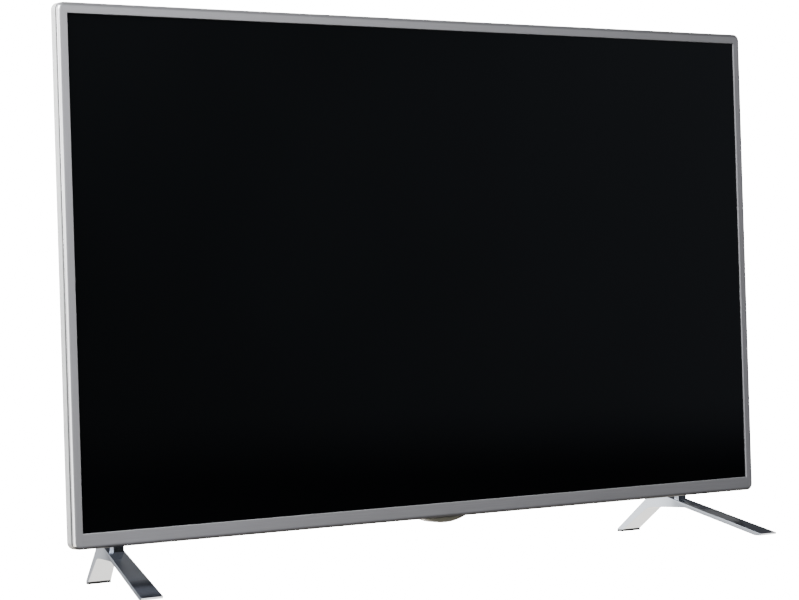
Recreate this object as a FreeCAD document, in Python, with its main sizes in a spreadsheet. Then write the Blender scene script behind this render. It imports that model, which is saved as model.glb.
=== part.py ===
import FreeCAD, Part
import math
import os
import re
import Sketcher

# A flat screen television on two bent-blade feet, in millimetres.
# X is to the right seen from the front, Y runs from front to back, Z is up.
# The origin lies on the floor, in the middle of the feet's footprint.

V = FreeCAD.Vector

SIZES = [
    # cabinet
    ("cabinet_width", 961),
    ("cabinet_height", 561),
    ("cabinet_depth", 55.5),
    ("floor_gap", 49),
    ("corner_round", 8),
    ("wall", 2.2),
    ("fit_gap", 0.3),
    ("front_reach", 72),
    ("rear_reach", 125),
    # front bezel
    ("bezel_side", 10.5),
    ("bezel_top", 11.5),
    ("bezel_bottom", 16.3),
    ("bezel_plate", 2.0),
    ("bezel_skirt", 5.2),
    ("bezel_edge", 2.6),
    ("lip_edge", 0.5),
    # panel and backlight, from the glass back to the pan
    ("glass_overlap", 3.5),
    ("glass_thick", 1.4),
    ("ledge_clear", 1.0),
    ("ledge_thick", 1.2),
    ("frame_margin", 3.0),
    ("frame_wall", 2.0),
    ("frame_deep", 8.6),
    ("sheet_thick", 0.3),
    ("sheet_count", 3),
    ("diffuser_thick", 1.5),
    ("reflector_thick", 0.6),
    ("pan_thick", 0.8),
    ("tray_margin", 13.5),
    ("tray_slope", 20),
    ("backlight_depth", 25),
    ("strip_high", 16),
    ("strip_thick", 1.0),
    ("strip_rows", 3),
    ("strip_end", 30),
    ("lenses_per_row", 8),
    ("lens_radius", 8),
    ("lens_high", 4.5),
    ("support_radius", 5),
    ("support_tip", 1.5),
    # rear cover
    ("seam", 0.5),
    ("rim_depth", 9.4),
    ("plateau_depth", 33),
    ("slope_inset", 24),
    ("bulge_slope", 17),
    ("bulge_margin", 39.8),
    ("bulge_head", 21),
    ("bulge_round", 10),
    ("well_radius", 6),
    ("vent_wide", 3.0),
    ("vent_high", 22),
    ("vent_pitch", 7.0),
    ("vent_span", 560),
    ("vent_lift", 22),
    ("grille_wide", 2.6),
    ("grille_deep", 15),
    ("grille_pitch", 5.2),
    # wall mount
    ("mount_pitch", 400),
    ("mount_low", 118),
    ("mount_bore", 3.0),
    ("mount_radius", 7.0),
    ("well_clear", 3),
    # cover and board screws
    ("screw_shank", 1.5),
    ("screw_head", 3.2),
    ("head_thick", 1.5),
    ("post_radius", 4.0),
    ("standoff_high", 4.0),
    ("standoff_radius", 2.5),
    ("board_thick", 1.6),
    ("board_inset", 6.0),
    # boards
    ("main_clear", 2.8),
    ("main_wide", 183),
    ("main_high", 120),
    ("power_clear", 13.8),
    ("power_wide", 174),
    ("power_low", 142),
    ("power_high", 148),
    ("timing_wide", 130),
    ("timing_low", 104),
    ("timing_high", 36),
    ("source_wide", 380),
    ("source_high", 10),
    ("source_thick", 1.2),
    ("ribbon_wide", 46),
    ("ribbon_thick", 0.3),
    ("sink_side", 38),
    ("sink_high", 12),
    ("sink_fins", 7),
    ("fin_thick", 1.4),
    ("sink_base", 2.5),
    ("fold_wide", 12),
    ("fold_deep", 18),
    ("fold_high", 50),
    ("fold_thick", 2),
    ("transformer_wide", 34),
    ("core_wall", 4),
    ("core_slot", 5),
    ("winding_rim", 3),
    ("transformer_high", 30),
    ("transformer_deep", 19),
    ("capacitor_radius", 8),
    ("capacitor_high", 20),
    # connector bay and sockets
    ("bay_clear", 5.6),
    ("bay_wide", 180),
    ("bay_low", 120),
    ("bay_top", 166),
    ("bay_floor", 28.4),
    ("panel_thick", 1.5),
    ("shell_thick", 0.5),
    ("hdmi_wide", 15.0),
    ("hdmi_deep", 5.6),
    ("hdmi_high", 12),
    ("hdmi_tongue_wide", 9),
    ("hdmi_tongue_thick", 1),
    ("usb_wide", 13.5),
    ("usb_deep", 6.2),
    ("usb_high", 14),
    ("usb_tongue_wide", 11),
    ("usb_tongue_thick", 1.8),
    ("tongue_back", 4.5),
    ("lan_wide", 16),
    ("lan_deep", 13.5),
    ("lan_high", 16),
    ("lan_mouth_wide", 11.8),
    ("lan_mouth_deep", 7),
    ("lan_back", 4),
    ("latch_wide", 6),
    ("latch_deep", 2.4),
    ("optical_side", 10),
    ("optical_high", 14),
    ("optical_mouth", 6.2),
    ("shutter_thick", 0.8),
    ("jack_side", 9),
    ("jack_high", 13),
    ("jack_bore", 1.75),
    ("tuner_wide", 26),
    ("tuner_deep", 12),
    ("tuner_high", 36),
    ("aerial_radius", 4.75),
    ("aerial_bore", 3.6),
    ("aerial_long", 14),
    ("aerial_pin", 0.5),
    ("inlet_clear", 12),
    ("inlet_lift", 6),
    ("inlet_wide", 21),
    ("inlet_high", 12.5),
    ("inlet_mouth_wide", 15),
    ("inlet_mouth_high", 7.5),
    ("inlet_mouth_deep", 14),
    ("pin_pitch", 8.6),
    ("pin_radius", 1.2),
    ("pin_long", 10),
    # speakers, mirrored left and right
    ("speaker_clear", 21.6),
    ("rest_wide", 5),
    ("speaker_wide", 132),
    ("speaker_deep", 24),
    ("speaker_low", 55),
    ("speaker_high", 50),
    ("speaker_front", 27.5),
    ("speaker_wall", 2.0),
    ("driver_wide", 60),
    ("driver_deep", 18),
    ("driver_flange", 3.0),
    ("flange_thick", 1.5),
    ("basket_high", 9.5),
    ("basket_wall", 1.0),
    ("cone_thick", 0.8),
    ("cone_rise", 5.0),
    ("coil_radius", 5.8),
    ("coil_wall", 0.5),
    ("coil_high", 7.5),
    ("coil_gap", 0.4),
    ("magnet_radius", 8.5),
    ("magnet_high", 9.0),
    ("cone_travel", 0.5),
    # sensor pod and joystick under the bottom bezel
    ("pod_wide", 60),
    ("pod_drop", 6),
    ("pod_front", 1.5),
    ("pod_deep", 16),
    ("pod_wall", 1.2),
    ("key_board_wide", 44),
    ("key_board_front", 12.4),
    ("key_board_deep", 20),
    ("key_post_radius", 2),
    ("key_board_lift", 12.5),
    ("key_board_thick", 1.2),
    ("guide_radius", 1.5),
    ("guide_depth", 14.2),
    ("joystick_depth", 25),
    ("pivot_lift", 8.5),
    ("base_side", 12),
    ("base_wall", 1.5),
    ("ring_outer", 4.0),
    ("ring_inner", 2.6),
    ("ring_high", 1.6),
    ("gimbal_pin", 0.5),
    ("pin_gap", 0.06),
    ("rocker_radius", 2.1),
    ("rocker_high", 5.0),
    ("stem_radius", 1.2),
    ("stem_gap", 0.08),
    ("stem_top_gap", 1.3),
    ("stem_hole", 3.0),
    ("cap_radius", 5.0),
    ("cap_high", 3.8),
    ("cap_drop", 5.6),
    ("cap_dish", 0.8),
    # feet, mirrored left and right
    ("neck_inset", 40),
    ("toe_outer", 45),
    ("toe_inner", 18.8),
    ("knee_outer", 10.4),
    ("knee_inner", 10),
    ("heel_outer", 6.6),
    ("heel_inner", 36),
    ("knee_depth", 54),
    ("toe_high", 2.4),
    ("blade_high", 5.2),
    ("apex_front", 65),
    ("apex_back", 82),
    ("apex_high", 45.8),
    ("arch_high", 31),
    ("arch_back", 83.5),
    ("heel_high", 3.6),
    ("heel_contact", 7.6),
    ("pad_thick", 2.2),
    ("apex_round", 9),
    ("arch_round", 16),
    ("neck_wide", 13),
    ("neck_front", 44),
    ("neck_deep", 7),
    ("neck_top", 76),
    ("bracket_wall", 1.6),
    ("bracket_top", 116),
    ("foot_screw_low", 60),
    ("foot_screw_pitch", 9),
    ("foot_screw_long", 5),
    ("flange_screw_pitch", 9),
    ("lead_radius", 1.2),
    ("lead_bend", 20),
    ("cable_thick", 0.4),
    ("cable_wide", 20),
    ("radio_x", 120),
    ("radio_low", 150),
    ("radio_wide", 36),
    ("radio_high", 20),
    ("radio_thick", 1.2),
    ("radio_can", 2.2),
]

doc = FreeCAD.newDocument("television")
sheet = doc.addObject("Spreadsheet::Sheet", "sizes")
for row, (alias, size) in enumerate(SIZES, 1):
    sheet.set(f"A{row}", alias)
    sheet.set(f"B{row}", str(size))
    sheet.setAlias(f"B{row}", alias)
doc.recompute()

ALIASES = {alias for alias, size in SIZES}
kept = []


def full(expression):
    """Put the sheet's name before each alias in an expression."""
    return re.sub(r"[a-z_]+", lambda m: "sizes." + m[0] if m[0] in ALIASES else m[0], str(expression))


def number(expression):
    """The present value of an expression of named sizes."""
    return float(sheet.evalExpression(full(expression)))


def bind(thing, **expressions):
    """Bind properties to expressions; a double underscore stands for a dot."""
    for key, expression in expressions.items():
        thing.setExpression(key.replace("__", "."), full(expression))


def keep(thing, node):
    """Name a finished sub-part, which is then written to its own file."""
    thing.Label = node
    kept.append(thing)
    return thing


# Places that several sub-parts share, each worked out from the named sizes.
FACE = "(-(rear_reach - front_reach) / 2)"
MIDDLE_Z = "(floor_gap + cabinet_height / 2)"
OPENING_WIDE = "(cabinet_width - 2 * bezel_side)"
OPENING_HIGH = "(cabinet_height - bezel_top - bezel_bottom)"
OPENING_Z = f"(floor_gap + bezel_bottom + {OPENING_HIGH} / 2)"
GLASS_WIDE = f"({OPENING_WIDE} + 2 * glass_overlap)"
GLASS_HIGH = f"({OPENING_HIGH} + 2 * glass_overlap)"
GLASS_LOW = f"({OPENING_Z} - {GLASS_HIGH} / 2)"
FRAME_FRONT = "(bezel_plate + glass_thick)"
SHEETS_FRONT = f"({FRAME_FRONT} + ledge_thick)"
DIFFUSER_FRONT = f"({SHEETS_FRONT} + sheet_count * sheet_thick)"
REFLECTOR_FRONT = f"({DIFFUSER_FRONT} + diffuser_thick)"
PAN_FRONT = f"({REFLECTOR_FRONT} + reflector_thick)"
STRIP_FRONT = "(backlight_depth - pan_thick - strip_thick)"
MOUTH_WIDE = f"({GLASS_WIDE} - 2 * tray_margin)"
MOUTH_HIGH = f"({GLASS_HIGH} - 2 * tray_margin)"
RIM_FRONT = "(bezel_skirt + seam)"
RIM_BACK = f"({RIM_FRONT} + rim_depth)"
COVER_FLOOR = "(floor_gap + wall)"
BOARD_FRONT = "(backlight_depth + standoff_high)"
BOARD_BACK = f"({BOARD_FRONT} + board_thick)"
COVER_INSIDE = "(cabinet_depth - wall)"
MAIN_LOW = "(bay_top + 3)"
WELL_EDGE = "(mount_pitch / 2 + mount_radius + well_clear + wall)"
BAY_X = f"({WELL_EDGE} + bay_clear + wall + bay_wide / 2)"
MAIN_LEFT = f"({WELL_EDGE} + main_clear)"
MAIN_X = f"({MAIN_LEFT} + main_wide / 2)"
POWER_RIGHT = f"({WELL_EDGE} + power_clear)"
POWER_X = f"(-({POWER_RIGHT} + power_wide / 2))"
INLET_X = f"(-({POWER_RIGHT} + inlet_wide / 2 + inlet_clear))"
INLET_LOW = "(power_low + inlet_lift)"
BULGE_WIDE = f"(2 * ({BAY_X} + bay_wide / 2 + wall + bulge_margin))"
BULGE_HIGH = "(power_low + power_high + bulge_head - floor_gap)"
BULGE_TOP = "(power_low + power_high + bulge_head)"
NECK_X = f"({BULGE_WIDE} / 2 - neck_inset)"
SPEAKER_RIGHT = f"({NECK_X} - neck_wide / 2 - fit_gap - bracket_wall - speaker_clear)"
SPEAKER_X = f"({SPEAKER_RIGHT} - speaker_wide / 2)"
NECK_BACK = "(neck_front + neck_deep)"


def at(depth):
    """Y of a place that lies this far behind the bezel's face."""
    return f"({FACE} + {depth})"


def box(name, x, y, z, wide, deep, high):
    """A block given by its middle in X, its front in Y and its underside in Z."""
    block = doc.addObject("Part::Box", name)
    bind(block, Length=wide, Width=deep, Height=high)
    bind(block, Placement__Base__x=f"({x}) - ({wide}) / 2", Placement__Base__y=y, Placement__Base__z=z)
    return block


AXES = {
    "x": FreeCAD.Rotation(V(0, 1, 0), 90),
    "y": FreeCAD.Rotation(V(1, 0, 0), -90),
    "z": FreeCAD.Rotation(),
}


def rod(name, x, y, z, radius, length, along):
    """A round bar that starts at a point and runs along an axis."""
    bar = doc.addObject("Part::Cylinder", name)
    bar.Placement = FreeCAD.Placement(V(), AXES[along])
    bind(bar, Radius=radius, Height=length)
    bind(bar, Placement__Base__x=x, Placement__Base__y=y, Placement__Base__z=z)
    return bar


def taper(name, x, y, z, start, end, length, along):
    """A cone frustum that starts at a point and runs along an axis."""
    cone = doc.addObject("Part::Cone", name)
    cone.Placement = FreeCAD.Placement(V(), AXES[along])
    bind(cone, Radius1=start, Radius2=end, Height=length)
    bind(cone, Placement__Base__x=x, Placement__Base__y=y, Placement__Base__z=z)
    return cone


def group(name, pieces):
    """Separate solids kept together as one sub-part, or as one cutting tool."""
    whole = doc.addObject("Part::Compound", name)
    whole.Links = pieces
    return whole


def fuse(name, pieces):
    whole = doc.addObject("Part::MultiFuse", name)
    whole.Shapes = pieces
    whole.Refine = True
    return whole


def cut(name, base, tools):
    """Take tools, which stay clear of each other, away from a base."""
    result = doc.addObject("Part::Cut", name)
    result.Base = base
    result.Tool = tools[0] if len(tools) == 1 else group(name + "_tools", tools)
    return result


def made(name, shape):
    """A sub-part whose shape is worked out here from the sheet's sizes."""
    thing = doc.addObject("Part::Feature", name)
    thing.Shape = shape
    thing.Placement = FreeCAD.Placement()
    return thing


def new_sketch(body, name, plane, x="0", y="0", out="0"):
    """A sketch on one of the body's origin planes, shifted within it and out of it."""
    drawing = body.newObject("Sketcher::SketchObject", name)
    support = next(face for face in body.Origin.OriginFeatures if face.Role == plane)
    drawing.AttachmentSupport = [(support, "")]
    drawing.MapMode = "FlatFace"
    bind(drawing, AttachmentOffset__Base__x=x, AttachmentOffset__Base__y=y, AttachmentOffset__Base__z=out)
    return drawing


def upright_sketch(body, name, depth, x="0", z="0"):
    """A sketch parallel to the screen, at a depth behind the bezel's face."""
    return new_sketch(body, name, "XZ_Plane", x, z, f"-{at(depth)}")


def draw_outline(drawing, points):
    """Straight edges through points, each held to the origin by two bound distances."""
    places = [(number(x), number(y)) for x, y in points]
    count = len(points)
    for index, (x, y) in enumerate(places):
        next_x, next_y = places[(index + 1) % count]
        drawing.addGeometry(Part.LineSegment(V(x, y, 0), V(next_x, next_y, 0)))
    for index in range(count):
        drawing.addConstraint(Sketcher.Constraint("Coincident", index, 2, (index + 1) % count, 1))
    for index, point in enumerate(points):
        for kind, expression in zip(("DistanceX", "DistanceY"), point):
            rule = Sketcher.Constraint(kind, -1, 1, index, 1, number(expression))
            held = drawing.addConstraint(rule)
            drawing.setExpression(f"Constraints[{held}]", full(expression))


def draw_rectangle(drawing, wide, high):
    """A rectangle about the sketch's own origin."""
    left, right = f"-({wide}) / 2", f"({wide}) / 2"
    low, top = f"-({high}) / 2", f"({high}) / 2"
    draw_outline(drawing, [(left, low), (right, low), (right, top), (left, top)])


def draw_rounded(drawing, wide, high, radius):
    """A rectangle with four equal round corners, about the sketch's own origin."""
    across, up, turn = number(wide) / 2, number(high) / 2, number(radius)
    near_x, near_y = across - turn, up - turn
    corners = [(near_x, -near_y, -90), (near_x, near_y, 0), (-near_x, near_y, 90), (-near_x, -near_y, 180)]
    ends = [
        (V(-near_x, -up, 0), V(near_x, -up, 0)),
        (V(across, -near_y, 0), V(across, near_y, 0)),
        (V(near_x, up, 0), V(-near_x, up, 0)),
        (V(-across, near_y, 0), V(-across, -near_y, 0)),
    ]
    for (start, end), (x, y, angle) in zip(ends, corners):
        circle = Part.Circle(V(x, y, 0), V(0, 0, 1), turn)
        first = math.radians(angle)
        drawing.addGeometry(Part.LineSegment(start, end))
        drawing.addGeometry(Part.ArcOfCircle(circle, first, first + math.pi / 2))
    for index in range(8):
        drawing.addConstraint(Sketcher.Constraint("Tangent", index, 2, (index + 1) % 8, 1))
    for index in (0, 4):
        drawing.addConstraint(Sketcher.Constraint("Horizontal", index))
        drawing.addConstraint(Sketcher.Constraint("Vertical", index + 2))
    for index in (3, 5, 7):
        drawing.addConstraint(Sketcher.Constraint("Equal", 1, index))
    drawing.addConstraint(Sketcher.Constraint("Symmetric", 7, 3, 3, 3, -1, 1))
    rules = [
        (Sketcher.Constraint("Radius", 1, turn), radius),
        (Sketcher.Constraint("DistanceX", 6, 1, 2, 1, 2 * across), wide),
        (Sketcher.Constraint("DistanceY", 0, 1, 4, 1, 2 * up), high),
    ]
    for rule, expression in rules:
        held = drawing.addConstraint(rule)
        drawing.setExpression(f"Constraints[{held}]", full(expression))


def new_body(name):
    return doc.addObject("PartDesign::Body", name)


def pad(body, name, drawing, length, backwards=True):
    """Thicken a sketch; backwards is against the sketch's normal, which is +Y when upright."""
    feature = body.newObject("PartDesign::Pad", name)
    feature.Profile = drawing
    feature.Reversed = backwards
    bind(feature, Length=length)
    return feature


def pocket(body, name, drawing, length=None, towards_normal=False):
    """Cut a sketch into the body, right through where no length is given."""
    feature = body.newObject("PartDesign::Pocket", name)
    feature.Profile = drawing
    feature.Reversed = towards_normal
    if length is None:
        feature.Type = "ThroughAll"
    else:
        bind(feature, Length=length)
    return feature


def loft(body, name, start, end, taken_away=False):
    """Join two sketches with straight walls, added to the body or taken from it."""
    kind = "SubtractiveLoft" if taken_away else "AdditiveLoft"
    feature = body.newObject(f"PartDesign::{kind}", name)
    feature.Profile = start
    feature.Sections = [end]
    feature.Ruled = True
    return feature


def edges_where(feature, test):
    """Names of the edges whose two ends and middle all pass a test."""
    names = []
    for index, edge in enumerate(feature.Shape.Edges, 1):
        points = [vertex.Point for vertex in edge.Vertexes]
        points.append(edge.valueAt((edge.FirstParameter + edge.LastParameter) / 2))
        if all(test(point) for point in points):
            names.append(f"Edge{index}")
    return names


def fillet(body, name, feature, radius, test):
    """Round the edges of a feature that pass a test."""
    doc.recompute()
    rounded = body.newObject("PartDesign::Fillet", name)
    rounded.Base = (feature, edges_where(feature, test))
    bind(rounded, Radius=radius)
    return rounded


def near(value, expression, slack=0.01):
    return abs(value - number(expression)) < slack


def make_front_bezel():
    """Face frame with a short skirt: one moulding, cut out for the screen and hollow behind."""
    body = new_body("bezel_body")
    outer = upright_sketch(body, "bezel_outer", "0", z=MIDDLE_Z)
    draw_rounded(outer, "cabinet_width", "cabinet_height", "corner_round")
    pad(body, "bezel_blank", outer, "bezel_skirt")
    hollow = upright_sketch(body, "bezel_hollow", "bezel_skirt", z=MIDDLE_Z)
    inner_round = "max(corner_round - wall; 0.5)"
    draw_rounded(hollow, "cabinet_width - 2 * wall", "cabinet_height - 2 * wall", inner_round)
    pocket(body, "bezel_recess", hollow, "bezel_skirt - bezel_plate", towards_normal=True)
    window = upright_sketch(body, "bezel_window", "0", z=OPENING_Z)
    draw_rectangle(window, OPENING_WIDE, OPENING_HIGH)
    opened = pocket(body, "bezel_opening", window)
    half_wide = number(OPENING_WIDE) / 2 + 1
    half_high = number(OPENING_HIGH) / 2 + 1

    def on_front_rim(point):
        beside = abs(point.x) > half_wide
        above_or_below = abs(point.z - number(OPENING_Z)) > half_high
        return near(point.y, FACE) and (beside or above_or_below)

    def on_lip(point):
        return near(point.y, FACE) and not on_front_rim(point)

    rim = fillet(body, "bezel_front_round", opened, "min(bezel_edge; bezel_plate + wall - 1)", on_front_rim)
    fillet(body, "bezel_lip_round", rim, "min(lip_edge; bezel_plate / 2)", on_lip)
    keep(body, "front_bezel")


def make_panel():
    """The display glass, the frame that backs its edge, and the sheets behind it."""
    keep(
        box("glass", "0", at("bezel_plate"), GLASS_LOW, GLASS_WIDE, "glass_thick", GLASS_HIGH),
        "display_glass"
    )

    outer_wide = f"({GLASS_WIDE} + 2 * frame_margin)"
    outer_high = f"({GLASS_HIGH} + 2 * frame_margin)"
    inner_wide = f"({outer_wide} - 2 * frame_wall)"
    inner_high = f"({outer_high} - 2 * frame_wall)"
    window_wide = f"({OPENING_WIDE} + 2 * ledge_clear)"
    window_high = f"({OPENING_HIGH} + 2 * ledge_clear)"
    body = new_body("frame_body")
    outer = upright_sketch(body, "frame_outer", FRAME_FRONT, z=OPENING_Z)
    draw_rectangle(outer, outer_wide, outer_high)
    pad(body, "frame_blank", outer, "frame_deep")
    window = upright_sketch(body, "frame_window", FRAME_FRONT, z=OPENING_Z)
    draw_rectangle(window, window_wide, window_high)
    pocket(body, "frame_opening", window)
    inside = upright_sketch(body, "frame_inside", f"({FRAME_FRONT} + ledge_thick)", z=OPENING_Z)
    draw_rectangle(inside, inner_wide, inner_high)
    pocket(body, "frame_recess", inside)
    keep(body, "panel_frame")

    layers = []
    for index in range(int(number("sheet_count"))):
        depth = at(f"({SHEETS_FRONT} + {index} * sheet_thick)")
        layers.append(box(f"sheet_{index}", "0", depth, GLASS_LOW, GLASS_WIDE, "sheet_thick", GLASS_HIGH))
    keep(group("sheet_stack", layers), "optical_sheets")
    depth = at(DIFFUSER_FRONT)
    keep(box("diffuser", "0", depth, GLASS_LOW, GLASS_WIDE, "diffuser_thick", GLASS_HIGH), "diffuser_plate")


def make_tray(name, front, back, thick, clear):
    """A shallow tray with a flange round its mouth and sloping sides."""
    body = new_body(name + "_body")
    flange = upright_sketch(body, name + "_flange", front, z=OPENING_Z)
    draw_rectangle(flange, GLASS_WIDE, GLASS_HIGH)
    pad(body, name + "_plate", flange, thick)
    grow = f"2 * ({thick} - {clear})"
    sections = []
    for end, depth, inset in (("mouth", front, "0"), ("base", back, "2 * tray_slope")):
        section = upright_sketch(body, f"{name}_{end}_outside", depth, z=OPENING_Z)
        draw_rectangle(section, f"({MOUTH_WIDE} - {inset} + {grow})", f"({MOUTH_HIGH} - {inset} + {grow})")
        sections.append(section)
    loft(body, name + "_shell", sections[0], sections[1])
    sections = []
    for end, depth, inset in (("mouth", front, "0"), ("base", f"({back} - {thick})", "2 * tray_slope")):
        section = upright_sketch(body, f"{name}_{end}_inside", depth, z=OPENING_Z)
        shrink = f"2 * {clear}"
        draw_rectangle(
            section, f"({MOUTH_WIDE} - {inset} - {shrink})", f"({MOUTH_HIGH} - {inset} - {shrink})"
        )
        sections.append(section)
    hollow = loft(body, name + "_hollow", sections[0], sections[1], taken_away=True)
    return body, hollow


def lens_places():
    """Middle of each lens: rows up the screen, even steps along each row."""
    rows = int(number("strip_rows"))
    per_row = int(number("lenses_per_row"))
    places = []
    for row in range(rows):
        z = f"({OPENING_Z} + ({row} - (strip_rows - 1) / 2) * {MOUTH_HIGH} / strip_rows)"
        for column in range(per_row):
            x = f"(({column} - (lenses_per_row - 1) / 2) * ({MOUTH_WIDE} - 2 * tray_slope) / lenses_per_row)"
            places.append((row, column, x, z))
    return places


def make_backlight():
    """Pan, light strips with their lenses, reflector sheet and the pegs that hold the diffuser off."""
    body, _ = make_tray("pan", PAN_FRONT, "backlight_depth", "pan_thick", "0")
    keep(body, "backlight_pan")

    strips = []
    gap_between = 2
    for row in range(int(number("strip_rows"))):
        z = f"({OPENING_Z} + ({row} - (strip_rows - 1) / 2) * {MOUTH_HIGH} / strip_rows - strip_high / 2)"
        long = f"(({MOUTH_WIDE} - 2 * tray_slope - 2 * strip_end - {gap_between}) / 2)"
        for side in (-1, 1):
            x = f"({side} * ({long} + {gap_between}) / 2)"
            name = f"strip_{row}_{'left' if side < 0 else 'right'}"
            strips.append(box(name, x, at(STRIP_FRONT), z, long, "strip_thick", "strip_high"))
    keep(group("strips", strips), "led_strips")

    body, hollow = make_tray(
        "reflector", REFLECTOR_FRONT, STRIP_FRONT, "reflector_thick", "(reflector_thick + fit_gap)"
    )
    holes = []
    lenses = []
    for row, column, x, z in lens_places():
        lens = make_lens(f"lens_{row}_{column}", number(x), number(z))
        lenses.append(lens)
        depth = at(f"({STRIP_FRONT} - 2 * reflector_thick)")
        size = f"(lens_radius + 2 * fit_gap)"
        holes.append(rod(f"lens_hole_{row}_{column}", x, depth, z, size, "3 * reflector_thick", "y"))
    keep(cut("pierced_reflector", body, holes), "reflector_sheet")
    keep(group("lenses", lenses), "led_lenses")

    supports = []
    top = f"({REFLECTOR_FRONT} + fit_gap)"
    foot = f"({STRIP_FRONT} - reflector_thick)"
    for row in (-1, 1):
        z = f"({OPENING_Z} + {row} * {MOUTH_HIGH} / strip_rows / 2)"
        for column in (-1, 0, 1):
            x = f"({column} * {MOUTH_WIDE} / 4)"
            name = f"support_{row + 1}_{column + 1}"
            supports.append(
                taper(name, x, at(top), z, "support_tip", "support_radius", f"({foot} - {top})", "y")
            )
    keep(group("supports", supports), "sheet_supports")


def make_lens(name, x, z):
    """A domed diffusing lens with a dimple, turned about the line of sight."""
    radius = number("lens_radius")
    high = number("lens_high")
    base = number(at(STRIP_FRONT))
    shoulder = high * 0.35
    dimple = high * 0.25
    start = V(x, base, z)
    edge = V(x + radius, base, z)
    side = V(x + radius, base - shoulder, z)
    crown = V(x + radius * 0.4, base - high, z)
    middle = V(x, base - high + dimple, z)
    bulge = V(x + radius * 0.86, base - high * 0.78, z)
    outline = [
        Part.LineSegment(start, edge).toShape(),
        Part.LineSegment(edge, side).toShape(),
        Part.Arc(side, bulge, crown).toShape(),
        Part.LineSegment(crown, middle).toShape(),
        Part.LineSegment(middle, start).toShape(),
    ]
    face = Part.Face(Part.Wire(outline))
    return made(name, face.revolve(start, V(0, 1, 0), 360))


def make_source_boards():
    """Two row-driver boards under the panel, each tied to the glass by two folded ribbons."""
    boards = []
    ribbons = []
    low = f"({GLASS_LOW} + 2)"
    front = f"({FRAME_FRONT} + frame_deep + fit_gap)"
    fold_low = f"({GLASS_LOW} - frame_margin - 1 - ribbon_thick)"
    for side in (-1, 1):
        x = f"({side} * {GLASS_WIDE} / 4)"
        label = "left" if side < 0 else "right"
        boards.append(box(f"source_{label}", x, at(front), low, "source_wide", "source_thick", "source_high"))
        for half in (-1, 1):
            middle = f"({x} + {half} * source_wide / 4)"
            name = f"ribbon_{label}_{'in' if half * side < 0 else 'out'}"
            back = f"({front} + source_thick)"
            high = f"({GLASS_LOW} - {fold_low})"
            first = box(
                name + "_drop", middle, at("bezel_plate + 0.4"), fold_low, "ribbon_wide", "ribbon_thick", high
            )
            run = f"({back} + ribbon_thick - bezel_plate - 0.4)"
            under = box(
                name + "_run", middle, at("bezel_plate + 0.4"), fold_low, "ribbon_wide", run, "ribbon_thick"
            )
            rise = f"({low} + 5 - {fold_low})"
            up = box(name + "_rise", middle, at(back), fold_low, "ribbon_wide", "ribbon_thick", rise)
            ribbons.append(fuse(name, [first, under, up]))
    keep(group("source_pair", boards), "source_boards")
    keep(group("ribbons", ribbons), "panel_flex")


def mount_places():
    """Wall-mount points: the corners of a square, symmetric about the cabinet's middle."""
    return [
        (f"({side} * mount_pitch / 2)", f"(mount_low + {level} * mount_pitch)")
        for level in (0, 1)
        for side in (-1, 1)
    ]


def cover_screw_places():
    """Each cover screw with the depth of the face that its head sits in."""
    top = f"({OPENING_Z} + {MOUTH_HIGH} / 2 - tray_slope - 9)"
    edge = f"({MOUTH_WIDE} / 2 - tray_slope - 11)"
    above = f"({BULGE_TOP} + 40)"
    places = []
    for side in (-1, 1):
        places.append((f"({side} * {edge} * 0.82)", top))
        places.append((f"({side} * {edge} * 0.28)", top))
        places.append((f"({side} * {edge})", above))
        places.append((f"({side} * {edge})", f"({above} + 105)"))
        places.append((f"({side} * 120)", "(timing_low + 2)"))
        places.append((f"({side} * 150)", f"({BULGE_TOP} - 28)"))
    return places


def in_bulge(z):
    return number(z) < number(BULGE_TOP)


def cover_section(body, name, depth, wide, low, high, radius):
    """A round-cornered section of the cover, standing on a given height."""
    section = upright_sketch(body, name, depth, z=f"({low} + ({high}) / 2)")
    draw_rounded(section, wide, high, radius)
    return section


def make_cover_shell():
    """Rim, sloped shoulders and lower bulge as one hollow moulding."""
    body = new_body("cover_shell")
    wide, high = "cabinet_width", "cabinet_height"
    rim = cover_section(body, "rim_outside", RIM_FRONT, wide, "floor_gap", high, "corner_round")
    pad(body, "rim_blank", rim, "rim_depth")
    start = cover_section(body, "shoulder_start", RIM_BACK, wide, "floor_gap", high, "corner_round")
    flat = ("(cabinet_width - 2 * slope_inset)", "(cabinet_height - slope_inset)")
    end = cover_section(body, "shoulder_end", "plateau_depth", flat[0], "floor_gap", flat[1], "corner_round")
    loft(body, "shoulder", start, end)
    base = cover_section(
        body, "bulge_start", "plateau_depth", BULGE_WIDE, "floor_gap", BULGE_HIGH, "bulge_round"
    )
    top = (f"({BULGE_WIDE} - 2 * bulge_slope)", f"({BULGE_HIGH} - bulge_slope)")
    crest = cover_section(body, "bulge_end", "cabinet_depth", top[0], "floor_gap", top[1], "bulge_round")
    loft(body, "bulge", base, crest)

    inner_round = "max(corner_round - wall; 0.5)"
    bulge_inner = "max(bulge_round - wall; 0.5)"
    less = "- 2 * wall)"
    rim = cover_section(
        body, "rim_inside", RIM_FRONT, f"({wide} {less}", COVER_FLOOR, f"({high} {less}", inner_round
    )
    pocket(body, "rim_hollow", rim, "rim_depth")
    start = cover_section(
        body, "slope_start", RIM_BACK, f"({wide} {less}", COVER_FLOOR, f"({high} {less}", inner_round
    )
    inside = "(plateau_depth - wall)"
    end = cover_section(
        body, "slope_end", inside, f"({flat[0]} {less}", COVER_FLOOR, f"({flat[1]} {less}", inner_round
    )
    loft(body, "slope_hollow", start, end, taken_away=True)
    base = cover_section(
        body, "deep_start", inside, f"({BULGE_WIDE} {less}", COVER_FLOOR, f"({BULGE_HIGH} {less}", bulge_inner
    )
    crest = cover_section(
        body, "deep_end", COVER_INSIDE, f"({top[0]} {less}", COVER_FLOOR, f"({top[1]} {less}", bulge_inner
    )
    loft(body, "deep_hollow", base, crest, taken_away=True)
    return body


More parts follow.
